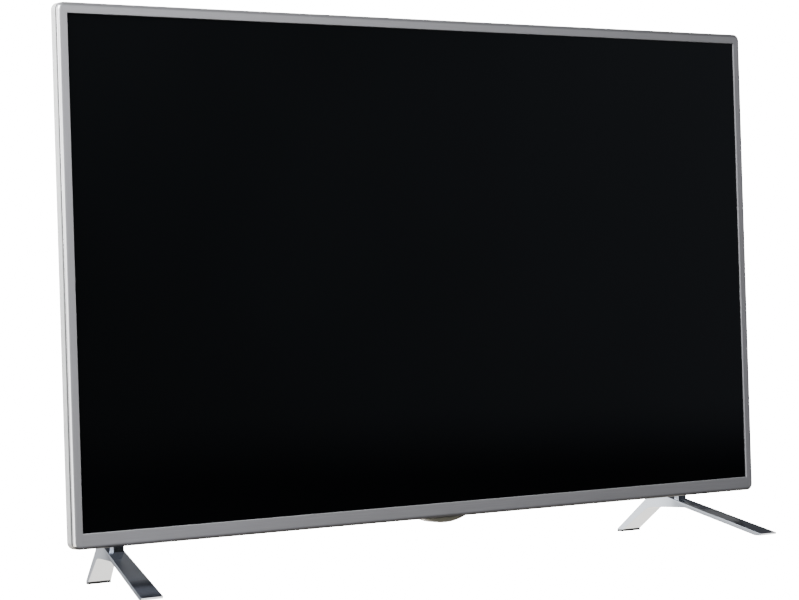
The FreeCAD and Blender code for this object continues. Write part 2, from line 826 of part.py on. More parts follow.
def make_rear_cover():
    """The cover shell with its bay, wells, posts, vents and grilles."""
    shell = make_cover_shell()
    adds = []
    cuts = []
    # connector bay: walls and floor, open at the top, where the terminal panel closes it
    bay_high = "(bay_top - bay_low)"
    bay_front = "(bay_floor - wall)"
    deep = f"({COVER_INSIDE} - {bay_front} + wall / 2)"
    block = box(
        "bay_block", BAY_X, at(bay_front), "bay_low - wall", "bay_wide + 2 * wall", deep,
        f"{bay_high} + wall"
    )
    adds.append(block)
    cuts.append(
        box("bay_cut", BAY_X, at("bay_floor"), "bay_low", "bay_wide", "cabinet_depth", bay_high)
    )
    # wells that take the lower wall-mount posts and four cover screws through the bulge
    for index, (x, z) in enumerate(mount_places()):
        radius = "(mount_radius + well_clear)"
        if in_bulge(z):
            deep = f"({COVER_INSIDE} - plateau_depth + 2 * wall - wall / 2)"
            adds.append(
                rod(f"mount_well_{index}", x, at("plateau_depth - wall"), z, f"{radius} + wall", deep, "y")
            )
            cuts.append(
                rod(f"mount_well_cut_{index}", x, at("plateau_depth"), z, radius, "cabinet_depth", "y")
            )
        hole = "(mount_radius + fit_gap)"
        cuts.append(rod(f"mount_hole_{index}", x, at("plateau_depth - 2 * wall"), z, hole, "2 * wall", "y"))
    for index, (x, z) in enumerate(cover_screw_places()):
        if in_bulge(z):
            deep = f"({COVER_INSIDE} - plateau_depth + 2 * wall - wall / 2)"
            adds.append(
                rod(f"screw_well_{index}", x, at("plateau_depth - wall"), z, "well_radius + wall", deep, "y")
            )
            cuts.append(
                rod(f"screw_well_cut_{index}", x, at("plateau_depth"), z, "well_radius", "cabinet_depth", "y")
            )
        long = "(plateau_depth - wall / 2 - backlight_depth)"
        adds.append(rod(f"screw_post_{index}", x, at("backlight_depth"), z, "post_radius", long, "y"))
        shank = "(screw_shank + pin_gap)"
        cuts.append(
            rod(f"screw_hole_{index}", x, at("backlight_depth - 1"), z, shank, "cabinet_depth / 4", "y")
        )
        head = "(screw_head + fit_gap)"
        cuts.append(
            rod(f"head_hole_{index}", x, at("plateau_depth - head_thick"), z, head, "2 * head_thick", "y")
        )
    # posts under the key board, and rests under the speaker boxes
    for side in (-1, 1):
        x = f"({side} * (key_board_wide / 2 - 4))"
        y = at("(key_board_front + key_board_deep / 2)")
        high = "(key_board_lift - wall / 2)"
        adds.append(rod(f"key_post_{side + 1}", x, y, "floor_gap + wall / 2", "key_post_radius", high, "z"))
        for end in (-1, 1):
            x = f"({side} * {SPEAKER_X} + {end} * (speaker_wide / 2 - 8))"
            y = at("(speaker_front + 2)")
            high = "(speaker_low - floor_gap - wall / 2)"
            name = f"speaker_rest_{side + 1}_{end + 1}"
            adds.append(box(name, x, y, "floor_gap + wall / 2", "rest_wide", "speaker_deep - 4", high))
    shell = fuse("cover_with_bosses", [shell] + adds)
    cuts += cover_openings()
    keep(cut("cover_cut", shell, cuts), "rear_cover")


def cover_openings():
    """Vents above the bulge, speaker grilles, and the holes for the feet, inlet, stem and light guide."""
    cuts = []
    z = f"({BULGE_TOP} + vent_lift)"
    count = int(number("vent_span / vent_pitch"))
    for index in range(count):
        x = f"(({index} - {(count - 1) / 2}) * vent_pitch)"
        cuts.append(
            box(f"vent_{index}", x, at("plateau_depth - 2 * wall"), z, "vent_wide", "3 * wall", "vent_high")
        )
    for side in (-1, 1):
        slots = int(number("driver_wide / grille_pitch"))
        for index in range(slots):
            x = f"({side} * {SPEAKER_X} + ({index} - {(slots - 1) / 2}) * grille_pitch)"
            y = at("(speaker_front + (speaker_deep - grille_deep) / 2)")
            name = f"grille_{side + 1}_{index}"
            cuts.append(box(name, x, y, "floor_gap - wall", "grille_wide", "grille_deep", "3 * wall"))
        wide = "neck_wide + 2 * fit_gap"
        deep = "neck_deep + 2 * fit_gap"
        y = at("(neck_front - fit_gap)")
        x = f"{side} * {NECK_X}"
        cuts.append(box(f"neck_hole_{side + 1}", x, y, "floor_gap - wall", wide, deep, "3 * wall"))
        for level in (0, 1):
            z = f"(foot_screw_low + {level} * foot_screw_pitch)"
            name = f"foot_screw_hole_{side + 1}_{level}"
            cuts.append(
                rod(name, x, at("(cabinet_depth - 2 * wall)"), z, "screw_head + fit_gap", "3 * wall", "y")
            )
    wide = "inlet_wide + 2 * fit_gap"
    high = "inlet_high + 2 * fit_gap"
    y = at("(cabinet_depth - 2 * wall)")
    cuts.append(box("inlet_hole", INLET_X, y, f"{INLET_LOW} - fit_gap", wide, "3 * wall", high))
    y = at("joystick_depth")
    cuts.append(rod("stem_hole", "0", y, "floor_gap - wall", "stem_hole", "3 * wall", "z"))
    y = at("guide_depth")
    cuts.append(rod("guide_hole", "0", y, "floor_gap - wall", "guide_radius + pin_gap", "3 * wall", "z"))
    return cuts




def make_wall_mount():
    """Threaded posts on the pan, flush with the cover's flat back."""
    posts = []
    long = "(plateau_depth - backlight_depth)"
    for index, (x, z) in enumerate(mount_places()):
        post = rod(f"mount_post_{index}", x, at("backlight_depth"), z, "mount_radius", long, "y")
        bore = rod(f"mount_bore_{index}", x, at("(backlight_depth + 1)"), z, "mount_bore", long, "y")
        posts.append(cut(f"bored_post_{index}", post, [bore]))
    keep(group("mount_posts", posts), "wall_mount_posts")


def make_screw(name, x, z, head_front, tip, head="screw_head"):
    """A pan-head screw along Y, driven from the back."""
    shank = rod(name + "_shank", x, at(tip), z, "screw_shank", f"({head_front} - {tip})", "y")
    top = rod(name + "_head", x, at(head_front), z, head, "head_thick", "y")
    recess = box(
        name + "_slot", x, at(f"({head_front} + head_thick / 2)"), f"{z} - 0.4", "screw_head", "head_thick",
        "0.8"
    )
    across = box(
        name + "_cross", x, at(f"({head_front} + head_thick / 2)"), f"{z} - screw_head / 2", "0.8",
        "head_thick", "screw_head"
    )
    slots = fuse(name + "_recess", [recess, across])
    return cut(name, fuse(name + "_blank", [shank, top]), [slots])


def make_cover_screws():
    screws = []
    for index, (x, z) in enumerate(cover_screw_places()):
        screws.append(
            make_screw(f"cover_screw_{index}", x, z, "(plateau_depth - head_thick)", "backlight_depth")
        )
    keep(group("cover_screw_set", screws), "cover_screws")


def board_corners(x, low, wide, high):
    """Fixing holes of a board, one near each corner."""
    return [
        (
            f"({x} + {side} * ({wide} / 2 - board_inset))",
            f"({low} + {high} / 2 + {level} * ({high} / 2 - board_inset))"
        )
        for level in (-1, 1)
        for side in (-1, 1)
    ]




def board_set():
    return [
        ("main", MAIN_X, MAIN_LOW, "main_wide", "main_high"),
        ("power", POWER_X, "power_low", "power_wide", "power_high"),
        ("timing", "0", "timing_low", "timing_wide", "timing_high"),
    ]


def make_boards():
    """Three circuit boards on standoffs behind the pan, with the low parts that are soldered to them."""
    standoffs = []
    screws = []
    for name, x, low, wide, high in board_set():
        plate = box(name + "_plate", x, at(BOARD_FRONT), low, wide, "board_thick", high)
        holes = []
        for index, (hole_x, hole_z) in enumerate(board_corners(x, low, wide, high)):
            size = "(screw_shank + pin_gap)"
            tag = f"{name}_{index}"
            holes.append(
                rod(f"hole_{tag}", hole_x, at(f"({BOARD_FRONT} - 1)"), hole_z, size, "board_thick + 2", "y")
            )
            standoffs.append(
                rod(
                    f"standoff_{tag}", hole_x, at("backlight_depth"), hole_z, "standoff_radius",
                    "standoff_high", "y"
                )
            )
            tip = BOARD_FRONT
            screw = make_screw(f"board_screw_{tag}", hole_x, hole_z, BOARD_BACK, tip, "(screw_head - 0.4)")
            screws.append(screw)
        bare = cut(name + "_drilled", plate, holes)
        parts = [bare] + board_parts(name, x, low, wide, high)
        keep(fuse(name + "_assembly", parts), name + "_board")
    keep(group("standoff_set", standoffs), "board_standoffs")
    keep(group("board_screw_set", screws), "board_screws")


def board_parts(name, x, low, wide, high):
    """Chips, coils and plugs, as shares of the board that they stand on: X, Z, width, height, depth."""
    layouts = {
        "main": [(-0.30, 0.62, 14, 14, 1.4), (-0.30, 0.42, 12, 9, 1.2), (0.30, 0.78, 20, 12, 1.6),
                 (-0.12, 0.84, 8, 8, 1.2), (0.38, 0.55, 10, 6, 1.0), (-0.44, 0.30, 6, 22, 4.0),
                 (-0.44, 0.62, 6, 34, 4.0)],
        "power": [(-0.05, 0.86, 22, 10, 9.0), (-0.42, 0.42, 10, 10, 8.0), (0.10, 0.14, 16, 8, 6.0),
                  (0.44, 0.66, 6, 20, 5.0), (-0.36, 0.16, 14, 12, 11.0)],
        "timing": [(0.0, 0.5, 18, 16, 1.6), (0.32, 0.5, 9, 9, 1.2), (0.25, 0.82, 26, 5, 2.4),
                   (0.30, 0.14, 24, 5, 2.4), (-0.30, 0.14, 24, 5, 2.4)],
    }
    parts = []
    for index, (across, up, part_wide, part_high, part_deep) in enumerate(layouts[name]):
        part_x = f"({x} + {across} * {wide})"
        part_z = f"({low} + {up} * {high} - {part_high} / 2)"
        parts.append(
            box(f"{name}_part_{index}", part_x, at(BOARD_BACK), part_z, part_wide, part_deep, part_high)
        )
    return parts


def make_heat_sinks():
    """A finned block on the main chip, and a folded plate beside the transformers."""
    fins = []
    x = f"({MAIN_X} + main_wide * 0.02)"
    z = f"({MAIN_LOW} + main_high * 0.58 - sink_side / 2)"
    base = box("sink_base", x, at(BOARD_BACK), z, "sink_side", "sink_base", "sink_side")
    fin_y = at(f"({BOARD_BACK} + sink_base)")
    fin_high = "sink_high - sink_base"
    step = "((sink_side - fin_thick) / (sink_fins - 1))"
    for index in range(int(number("sink_fins"))):
        fin_x = f"({x} - (sink_side - fin_thick) / 2 + {index} * {step})"
        fins.append(box(f"sink_fin_{index}", fin_x, fin_y, z, "fin_thick", fin_high, "sink_side"))
    keep(fuse("main_sink", [base] + fins), "main_heat_sink")
    x = f"({POWER_X} + power_wide * 0.16)"
    z = "(power_low + power_high * 0.52)"
    plate = box("power_sink_plate", x, at(BOARD_BACK), z, "fold_thick", "fold_deep", "fold_high")
    wing_x = f"({x} + (fold_wide - fold_thick) / 2)"
    wing_y = at(f"({BOARD_BACK} + fold_deep - fold_thick)")
    wing = box("power_sink_wing", wing_x, wing_y, z, "fold_wide", "fold_thick", "fold_high")
    keep(fuse("power_sink", [plate, wing]), "power_heat_sink")


def make_power_parts():
    """Two wound transformers and three upright capacitors on the power board."""
    cores = []
    for index, up in enumerate((0.30, 0.72)):
        x = f"({POWER_X} - power_wide * 0.18)"
        z = f"(power_low + power_high * {up} - transformer_high / 2)"
        core = box(
            f"core_{index}", x, at(BOARD_BACK), z, "transformer_wide", "transformer_deep", "transformer_high"
        )
        depth = at(f"({BOARD_BACK} + core_wall)")
        slot_deep = "transformer_deep - 2 * core_wall"
        slots = []
        for hand in (-1, 1):
            slot_x = f"({x} + {hand} * (transformer_wide + 6) / 4)"
            name = f"core_slot_{index}_{hand + 1}"
            slots.append(box(name, slot_x, depth, z, "core_slot", slot_deep, "transformer_high"))
        depth = at(f"({BOARD_BACK} + winding_rim)")
        wide = "(transformer_wide - 4 * winding_rim)"
        deep = "transformer_deep - 2 * winding_rim"
        high = "transformer_high - 2 * winding_rim"
        winding = box(f"winding_{index}", x, depth, f"({z} + winding_rim)", wide, deep, high)
        cores.append(fuse(f"transformer_{index}", [cut(f"core_cut_{index}", core, slots), winding]))
    keep(group("transformer_set", cores), "transformers")
    cans = []
    for index in range(3):
        x = f"({POWER_X} + power_wide * 0.34)"
        z = f"(power_low + 36 + {index} * (2 * capacitor_radius + 2))"
        cans.append(rod(f"can_{index}", x, at(BOARD_BACK), z, "capacitor_radius", "capacitor_high", "y"))
    keep(group("can_set", cans), "capacitors")


SOCKETS = [
    # name, place along the main board, width, depth off the board, height
    ("hdmi_0", f"({MAIN_X} - 0.396 * main_wide)", "hdmi_wide", "hdmi_deep", "hdmi_high"),
    ("hdmi_1", f"({MAIN_X} - 0.287 * main_wide)", "hdmi_wide", "hdmi_deep", "hdmi_high"),
    ("usb", f"({MAIN_X} - 0.172 * main_wide)", "usb_wide", "usb_deep", "usb_high"),
    ("lan", f"({MAIN_X} - 0.052 * main_wide)", "lan_wide", "lan_deep", "lan_high"),
    ("optical", f"({MAIN_X} + 0.057 * main_wide)", "optical_side", "optical_side", "optical_high"),
    ("jack_0", f"({MAIN_X} + 0.15 * main_wide)", "jack_side", "jack_side", "jack_high"),
    ("jack_1", f"({MAIN_X} + 0.227 * main_wide)", "jack_side", "jack_side", "jack_high"),
]
AERIAL_X = f"({MAIN_X} + 0.369 * main_wide)"
AERIAL_DEPTH = f"({BOARD_BACK} + tuner_deep / 2)"


def socket_block(name):
    """The outer block of a socket that faces down into the bay."""
    _, x, wide, deep, high = next(row for row in SOCKETS if row[0] == name)
    return x, wide, deep, high, box(name + "_block", x, at(BOARD_BACK), "bay_top", wide, deep, high)


def shell_socket(name, tongue_wide, tongue_thick):
    """A metal shell with a tongue that stands back from its mouth."""
    x, wide, deep, high, block = socket_block(name)
    inner_wide = f"({wide} - 2 * shell_thick)"
    inner_deep = f"({deep} - 2 * shell_thick)"
    inner_high = f"({high} - 2)"
    hollow = box(
        name + "_hollow", x, at(f"({BOARD_BACK} + shell_thick)"), "bay_top", inner_wide, inner_deep,
        inner_high
    )
    depth = at(f"({BOARD_BACK} + {deep} / 2 - {tongue_thick} / 2)")
    low = "(bay_top + tongue_back)"
    long = f"({high} - 1 - tongue_back)"
    tongue = box(name + "_tongue", x, depth, low, tongue_wide, tongue_thick, long)
    return fuse(name + "_socket", [cut(name + "_shell", block, [hollow]), tongue])


def make_sockets():
    """Every socket of the bay, and the plate that they look through."""
    pair = []
    for name in ("hdmi_0", "hdmi_1"):
        pair.append(shell_socket(name, "hdmi_tongue_wide", "hdmi_tongue_thick"))
    keep(group("hdmi_pair", pair), "hdmi_sockets")
    keep(shell_socket("usb", "usb_tongue_wide", "usb_tongue_thick"), "usb_socket")

    x, wide, deep, high, block = socket_block("lan")
    high = "(lan_high - 2)"
    y = at(f"({BOARD_BACK} + lan_back)")
    mouth = box("lan_mouth", x, y, "bay_top", "lan_mouth_wide", "lan_mouth_deep", high)
    y = at(f"({BOARD_BACK} + lan_back - latch_deep)")
    latch = box("lan_latch", x, y, "bay_top", "latch_wide", "latch_deep", high)
    keep(cut("lan_cut", block, [fuse("lan_hollow", [mouth, latch])]), "lan_socket")

    x, wide, deep, high, block = socket_block("optical")
    depth = at(f"({BOARD_BACK} + (optical_side - optical_mouth) / 2)")
    mouth = box("optical_hollow", x, depth, "bay_top", "optical_mouth", "optical_mouth", "optical_high - 3")
    hinge_hole = rod(
        "shutter_hole", f"({x} - optical_side / 2 + 1)", SHUTTER_Y, SHUTTER_Z, "gimbal_pin + pin_gap",
        "optical_side - 2", "x"
    )
    keep(cut("optical_cut", block, [fuse("optical_space", [mouth, hinge_hole])]), "optical_socket")
    make_shutter(x)

    jacks = []
    for name in ("jack_0", "jack_1"):
        x, wide, deep, high, block = socket_block(name)
        bore = rod(
            name + "_bore", x, at(f"({BOARD_BACK} + jack_side / 2)"), "bay_top", "jack_bore",
            "jack_high - 1.5", "z"
        )
        jacks.append(cut(name + "_cut", block, [bore]))
    keep(group("jack_pair", jacks), "av_jacks")

    can = box(
        "tuner_can", AERIAL_X, at(BOARD_BACK), f"({MAIN_LOW} + 1)", "tuner_wide", "tuner_deep", "tuner_high"
    )
    barrel = rod(
        "aerial_barrel", AERIAL_X, at(AERIAL_DEPTH), f"({MAIN_LOW} + 2 - aerial_long)", "aerial_radius",
        "aerial_long", "z"
    )
    body = fuse("tuner_body", [can, barrel])
    bore = rod(
        "aerial_hole", AERIAL_X, at(AERIAL_DEPTH), f"({MAIN_LOW} + 1 - aerial_long)", "aerial_bore",
        "aerial_long - 1", "z"
    )
    pin = rod(
        "aerial_centre", AERIAL_X, at(AERIAL_DEPTH), f"({MAIN_LOW} + 5 - aerial_long)", "aerial_pin",
        "aerial_long - 4", "z"
    )
    keep(fuse("tuner_whole", [cut("tuner_bored", body, [bore]), pin]), "aerial_tuner")
    make_terminal_panel()


def make_terminal_panel():
    """The plate that closes the top of the bay, with a hole for each socket."""
    depth = f"({COVER_INSIDE} - bay_floor + wall)"
    plate = box(
        "terminal_plate", BAY_X, at("(bay_floor - wall)"), "bay_top", "bay_wide + 2 * wall", depth,
        "panel_thick"
    )
    holes = []
    for name, x, wide, deep, high in SOCKETS:
        y = at(f"({BOARD_BACK} - fit_gap)")
        size = (f"{wide} + 2 * fit_gap", f"{deep} + 2 * fit_gap")
        holes.append(box(name + "_window", x, y, "bay_top - 1", size[0], size[1], "panel_thick + 2"))
    size = "aerial_radius + fit_gap"
    holes.append(
        rod("aerial_window", AERIAL_X, at(AERIAL_DEPTH), "bay_top - 1", size, "panel_thick + 2", "z")
    )
    keep(cut("terminal_cut", plate, holes), "terminal_panel")


SHUTTER_Y = at(f"({BOARD_BACK} + (optical_side - optical_mouth) / 2 + gimbal_pin + 0.5)")
SHUTTER_Z = "(bay_top + 2)"


def make_shutter(x):
    """The spring flap that closes the optical socket, on a thin hinge pin."""
    pin = rod(
        "shutter_pin", f"({x} - optical_side / 2 + 1.2)", SHUTTER_Y, SHUTTER_Z, "gimbal_pin",
        "optical_side - 2.4", "x"
    )
    deep = "(optical_mouth - gimbal_pin - 0.5 - 2 * fit_gap)"
    flap = box(
        "shutter_flap", x, SHUTTER_Y, f"{SHUTTER_Z} - shutter_thick / 2", "optical_mouth - 2 * fit_gap", deep,
        "shutter_thick"
    )
    keep(fuse("shutter", [pin, flap]), "optical_shutter")


def make_mains_inlet():
    """The two-pin mains inlet, which stands on the power board and looks out of the back."""
    depth = f"(cabinet_depth - {BOARD_BACK})"
    block = box("inlet_block", INLET_X, at(BOARD_BACK), INLET_LOW, "inlet_wide", depth, "inlet_high")
    y = at("(cabinet_depth - inlet_mouth_deep)")
    middle = f"({INLET_LOW} + inlet_high / 2)"
    half = "((inlet_mouth_wide - inlet_mouth_high) / 2)"
    low = f"({middle} - inlet_mouth_high / 2)"
    flat = box("inlet_flat", INLET_X, y, low, f"2 * {half}", "inlet_mouth_deep + 1", "inlet_mouth_high")
    rounds = [
        rod(
            f"inlet_round_{side + 1}", f"({INLET_X} + {side} * {half})", y, middle, "inlet_mouth_high / 2",
            "inlet_mouth_deep + 1", "y"
        )
        for side in (-1, 1)
    ]
    mouth = fuse("inlet_mouth", [flat] + rounds)
    keep(cut("inlet_cut", block, [mouth]), "mains_inlet")
    pins = [
        rod(
            f"inlet_pin_{side + 1}", f"({INLET_X} + {side} * pin_pitch / 2)", y, middle, "pin_radius",
            "pin_long", "y"
        )
        for side in (-1, 1)
    ]
    keep(group("inlet_pin_pair", pins), "mains_pins")


def racetrack(x, y, z, wide, deep):
    """A level wire with straight sides and half-round ends."""
    half = (wide - deep) / 2
    turn = deep / 2
    front = Part.LineSegment(V(x - half, y - turn, z), V(x + half, y - turn, z))
    right = Part.Arc(V(x + half, y - turn, z), V(x + half + turn, y, z), V(x + half, y + turn, z))
    back = Part.LineSegment(V(x + half, y + turn, z), V(x - half, y + turn, z))
    left = Part.Arc(V(x - half, y + turn, z), V(x - half - turn, y, z), V(x - half, y - turn, z))
    return Part.Wire([edge.toShape() for edge in (front, right, back, left)])


def racetrack_bar(x, y, z, wide, deep, high):
    return Part.Face(racetrack(x, y, z, wide, deep)).extrude(V(0, 0, high))


def tube(x, y, z, outer, inner, high):
    """A round tube that stands on a height."""
    whole = Part.makeCylinder(outer, high, V(x, y, z))
    return whole.cut(Part.makeCylinder(inner, high, V(x, y, z)))


def make_speaker(side):
    """A closed box with a down-firing racetrack driver: basket, magnet, and cone with its coil."""
    name = "left" if side < 0 else "right"
    x = f"({side} * {SPEAKER_X})"
    front = at("speaker_front")
    outer = box(f"{name}_enclosure", x, front, "speaker_low", "speaker_wide", "speaker_deep", "speaker_high")
    size = [f"({length} - 2 * speaker_wall)" for length in ("speaker_wide", "speaker_deep", "speaker_high")]
    y = at("(speaker_front + speaker_wall)")
    inner = box(f"{name}_air", x, y, "speaker_low + speaker_wall", *size)
    hollow = cut(f"{name}_hollow_box", outer, [inner])

    middle_x = number(x)
    middle_y = number(at("(speaker_front + speaker_deep / 2)"))
    low = number("speaker_low")
    wide, deep = number("driver_wide"), number("driver_deep")
    gap = number("fit_gap")
    hole = racetrack_bar(
        middle_x, middle_y, low - 1, wide + 2 * gap, deep + 2 * gap, number("speaker_wall") + 2
    )
    mouth = made(f"{name}_driver_hole", hole)
    keep(cut(f"{name}_box_cut", hollow, [mouth]), f"{name}_speaker_box")

    flange = number("driver_flange")
    thick = number("flange_thick")
    skin = number("basket_wall")
    rise = number("basket_high")
    base = low - thick
    ring = racetrack_bar(middle_x, middle_y, base, wide + 2 * flange, deep + 2 * flange - 2, thick)
    basket = ring.fuse(racetrack_bar(middle_x, middle_y, base, wide, deep, rise + thick))
    room = racetrack_bar(middle_x, middle_y, base, wide - 2 * skin, deep - 2 * skin, rise + thick - skin)
    coil = number("coil_radius")
    coil_gap = number("coil_gap")
    coil_wall = number("coil_wall")
    passage = Part.makeCylinder(coil + coil_wall + coil_gap, 2 * rise, V(middle_x, middle_y, base))
    keep(made(f"{name}_basket", basket.cut(room).cut(passage).removeSplitter()), f"{name}_speaker_frame")

    top = low + rise
    high = number("magnet_high")
    magnet = Part.makeCylinder(number("magnet_radius"), high, V(middle_x, middle_y, top))
    groove = tube(middle_x, middle_y, top, coil + coil_wall + coil_gap, coil - coil_gap, high - 1.5)
    keep(made(f"{name}_magnet_shape", magnet.cut(groove)), f"{name}_speaker_magnet")

    cone = number("cone_thick")
    lift = number("cone_rise")
    edge = 2 * (skin + gap)
    lip_low = base + thick + number("cone_travel")
    neck = 2 * (coil + coil_wall)
    lower = racetrack(middle_x, middle_y, lip_low, wide - edge, deep - edge)
    upper = racetrack(middle_x, middle_y, lip_low + lift, neck + 2, neck)
    dish = Part.makeLoft([lower, upper], True, True)
    lower = racetrack(middle_x, middle_y, lip_low - cone, wide - edge, deep - edge)
    upper = racetrack(middle_x, middle_y, lip_low + lift - cone, neck + 2, neck)
    dish = dish.cut(Part.makeLoft([lower, upper], True, True))
    cap = Part.makeCylinder(coil + coil_wall, cone, V(middle_x, middle_y, lip_low + lift - cone))
    voice = tube(middle_x, middle_y, lip_low + lift - cone, coil + coil_wall, coil, number("coil_high"))
    moving = dish.fuse([cap, voice]).removeSplitter()
    keep(made(f"{name}_diaphragm", moving), f"{name}_speaker_cone")


def make_pod():
    """The translucent pod under the bottom bezel: an arc in front, hollow from above."""
    wide, drop = number("pod_wide"), number("pod_drop")
    front, deep = number(at("pod_front")), number("pod_deep")
    top = number("floor_gap")
    skin = number("pod_wall")

    def arch(half, sag, y, length):
        ends = V(-half, y, top), V(half, y, top)
        arc = Part.Arc(ends[0], V(0, y, top - sag), ends[1]).toShape()
        line = Part.LineSegment(ends[1], ends[0]).toShape()
        return Part.Face(Part.Wire([arc, line])).extrude(V(0, length, 0))

    outer = arch(wide / 2, drop, front, deep)
    inner = arch(wide / 2 - 3 * skin, drop - 1.5 * skin, front + 1.5 * skin, deep - 3 * skin)
    keep(made("pod", outer.cut(inner)), "sensor_pod")


def make_key_board():
    """The small board over the pod with its receiver, and the guide that carries its light down."""
    low = "(floor_gap + key_board_lift)"
    plate = box(
        "key_plate", "0", at("key_board_front"), low, "key_board_wide", "key_board_deep", "key_board_thick"
    )
    y = at("(key_board_front + 1)")
    receiver = box("receiver", "-12", y, f"{low} - 4", "5", "4", "4")
    plug = box("key_plug", "11", at("(key_board_front + 9)"), f"{low} - 5", "8", "5", "5")
    keep(fuse("key_assembly", [plate, receiver, plug]), "key_board")
    keep(
        rod("light_rod", "0", at("guide_depth"), "floor_gap", "guide_radius", "key_board_lift", "z"),
        "light_guide"
    )


PIVOT_Z = "(floor_gap + pivot_lift)"
JOYSTICK_Y = at("joystick_depth")


def make_joystick():
    """Base, gimbal ring, rocker, stem and cap of the control stick."""
    top = "(floor_gap + key_board_lift)"
    low = f"({PIVOT_Z} - ring_high / 2 - 2)"
    high = f"({top} - {low})"
    y = at("(joystick_depth - base_side / 2)")
    block = box("base_block", "0", y, low, "base_side", "base_side", high)
    inner = "(base_side - 2 * base_wall)"
    y = at(f"(joystick_depth - {inner} / 2)")
    room = box("base_room", "0", y, low, inner, inner, high)
    hole = rod(
        "base_pin_hole", "-base_side / 2", JOYSTICK_Y, PIVOT_Z, "gimbal_pin + pin_gap", "base_side", "x"
    )
    keep(cut("base_cut", block, [fuse("base_space", [room, hole])]), "joystick_base")

    y = f"({PIVOT_Z} - ring_high / 2)"
    disc = rod("ring_disc", "0", JOYSTICK_Y, y, "ring_outer", "ring_high", "z")
    pin_long = "(base_side - 0.4)"
    pins = rod("ring_pins", f"-{pin_long} / 2", JOYSTICK_Y, PIVOT_Z, "gimbal_pin", pin_long, "x")
    room = rod("ring_room", "0", JOYSTICK_Y, f"({y} - 1)", "ring_inner", "ring_high + 2", "z")
    hole_y = at("(joystick_depth - ring_outer)")
    hole = rod("ring_pin_hole", "0", hole_y, PIVOT_Z, "gimbal_pin + pin_gap", "2 * ring_outer", "y")
    blank = fuse("ring_blank", [disc, pins])
    keep(cut("ring_cut", blank, [fuse("ring_space", [room, hole])]), "joystick_ring")

    start = f"({PIVOT_Z} - rocker_high / 2)"
    sleeve = rod("rocker_sleeve", "0", JOYSTICK_Y, start, "rocker_radius", "rocker_high", "z")
    long = "(ring_outer - 0.2)"
    pins = rod(
        "rocker_pins", "0", at(f"(joystick_depth - {long})"), PIVOT_Z, "gimbal_pin", f"2 * {long}", "y"
    )
    bore = rod(
        "rocker_bore", "0", JOYSTICK_Y, f"({start} - 1)", "stem_radius + stem_gap", "rocker_high + 2", "z"
    )
    keep(cut("rocker_cut", fuse("rocker_blank", [sleeve, pins]), [bore]), "joystick_rocker")

    cap_low = "(floor_gap - cap_drop)"
    stem_low = f"({cap_low} + cap_high)"
    stem_high = f"({top} - stem_top_gap - {stem_low})"
    keep(rod("stem", "0", JOYSTICK_Y, stem_low, "stem_radius", stem_high, "z"), "joystick_stem")

    radius, high, dish = number("cap_radius"), number("cap_high"), number("cap_dish")
    base = V(0, number(JOYSTICK_Y), number(cap_low))
    rim = 0.82 * radius
    soft = 0.3 * high
    outline = [
        Part.Arc(base + V(0, 0, dish), base + V(rim / 2, 0, dish * 0.7), base + V(rim, 0, 0)).toShape(),
        Part.Arc(
            base + V(rim, 0, 0), base + V(0.96 * radius, 0, 0.3 * soft), base + V(radius, 0, soft)
        ).toShape(),
        Part.LineSegment(base + V(radius, 0, soft), base + V(0.8 * radius, 0, high)).toShape(),
        Part.LineSegment(base + V(0.8 * radius, 0, high), base + V(0, 0, high)).toShape(),
        Part.LineSegment(base + V(0, 0, high), base + V(0, 0, dish)).toShape(),
    ]
    face = Part.Face(Part.Wire(outline))
    keep(made("cap", face.revolve(base, V(0, 0, 1), 360)), "joystick_cap")


BLADE_SLOPE = "((apex_high - toe_high) / (front_reach + apex_front))"
NECK_FOOT = "(arch_high + 1)"


def common(name, base, tool):
    """What two shapes share."""
    result = doc.addObject("Part::Common", name)
    result.Base = base
    result.Tool = tool
    return result


def plan_prism(side, name):
    """A tall prism with the foot's outline seen from above."""
    body = new_body(name + "_plan_body")
    plan = new_sketch(body, name + "_plan", "XY_Plane", y=FACE, out="-5")
    draw_outline(plan, [
        (f"{side} * ({NECK_X} + toe_inner)", "-front_reach"),
        (f"{side} * ({NECK_X} + toe_outer)", "-front_reach"),
        (f"{side} * ({NECK_X} + knee_outer)", "knee_depth"),
        (f"{side} * ({NECK_X} - heel_outer)", "rear_reach"),
        (f"{side} * ({NECK_X} - heel_inner)", "rear_reach"),
        (f"{side} * ({NECK_X} - knee_inner)", "knee_depth"),
    ])
    pad(body, name + "_prism", plan, "apex_high + 10", backwards=False)
    return body


def make_blade(side, name):
    """The foot's side outline thickened across, with soft folds."""
    body = new_body(name + "_blade_body")
    profile = new_sketch(body, name + "_profile", "YZ_Plane", x=FACE, out=f"{side} * {NECK_X}")
    under = "(blade_high - toe_high)"
    draw_outline(profile, [
        ("-front_reach", "0"),
        (f"-front_reach + {under} / {BLADE_SLOPE}", "0"),
        (f"-front_reach + (arch_high + {under}) / {BLADE_SLOPE}", "arch_high"),
        ("arch_back", "arch_high"),
        ("rear_reach - heel_contact", "pad_thick"),
        ("rear_reach", "pad_thick"),
        ("rear_reach", "heel_high"),
        ("apex_back", "apex_high"),
        ("apex_front", "apex_high"),
        ("-front_reach", "toe_high"),
    ])
    blank = pad(body, name + "_blank", profile, "2 * (toe_outer + heel_inner)", backwards=False)
    blank.Midplane = True

    def along_fold(height):
        def test(point):
            inside = number(at("-front_reach + 1")) < point.y < number(at("rear_reach - 1"))
            return near(point.z, height) and inside
        return test

    def folds(feature, height):
        return [name for name in edges_where(feature, along_fold(height)) if is_cross_edge(feature, name)]

    doc.recompute()
    soft = blank
    for tag, height, radius in (("apex", "apex_high", "apex_round"), ("arch", "arch_high", "arch_round")):
        rounded = body.newObject("PartDesign::Fillet", f"{name}_{tag}_round")
        rounded.Base = (soft, folds(soft, height))
        bind(rounded, Radius=radius)
        doc.recompute()
        soft = rounded
    return body


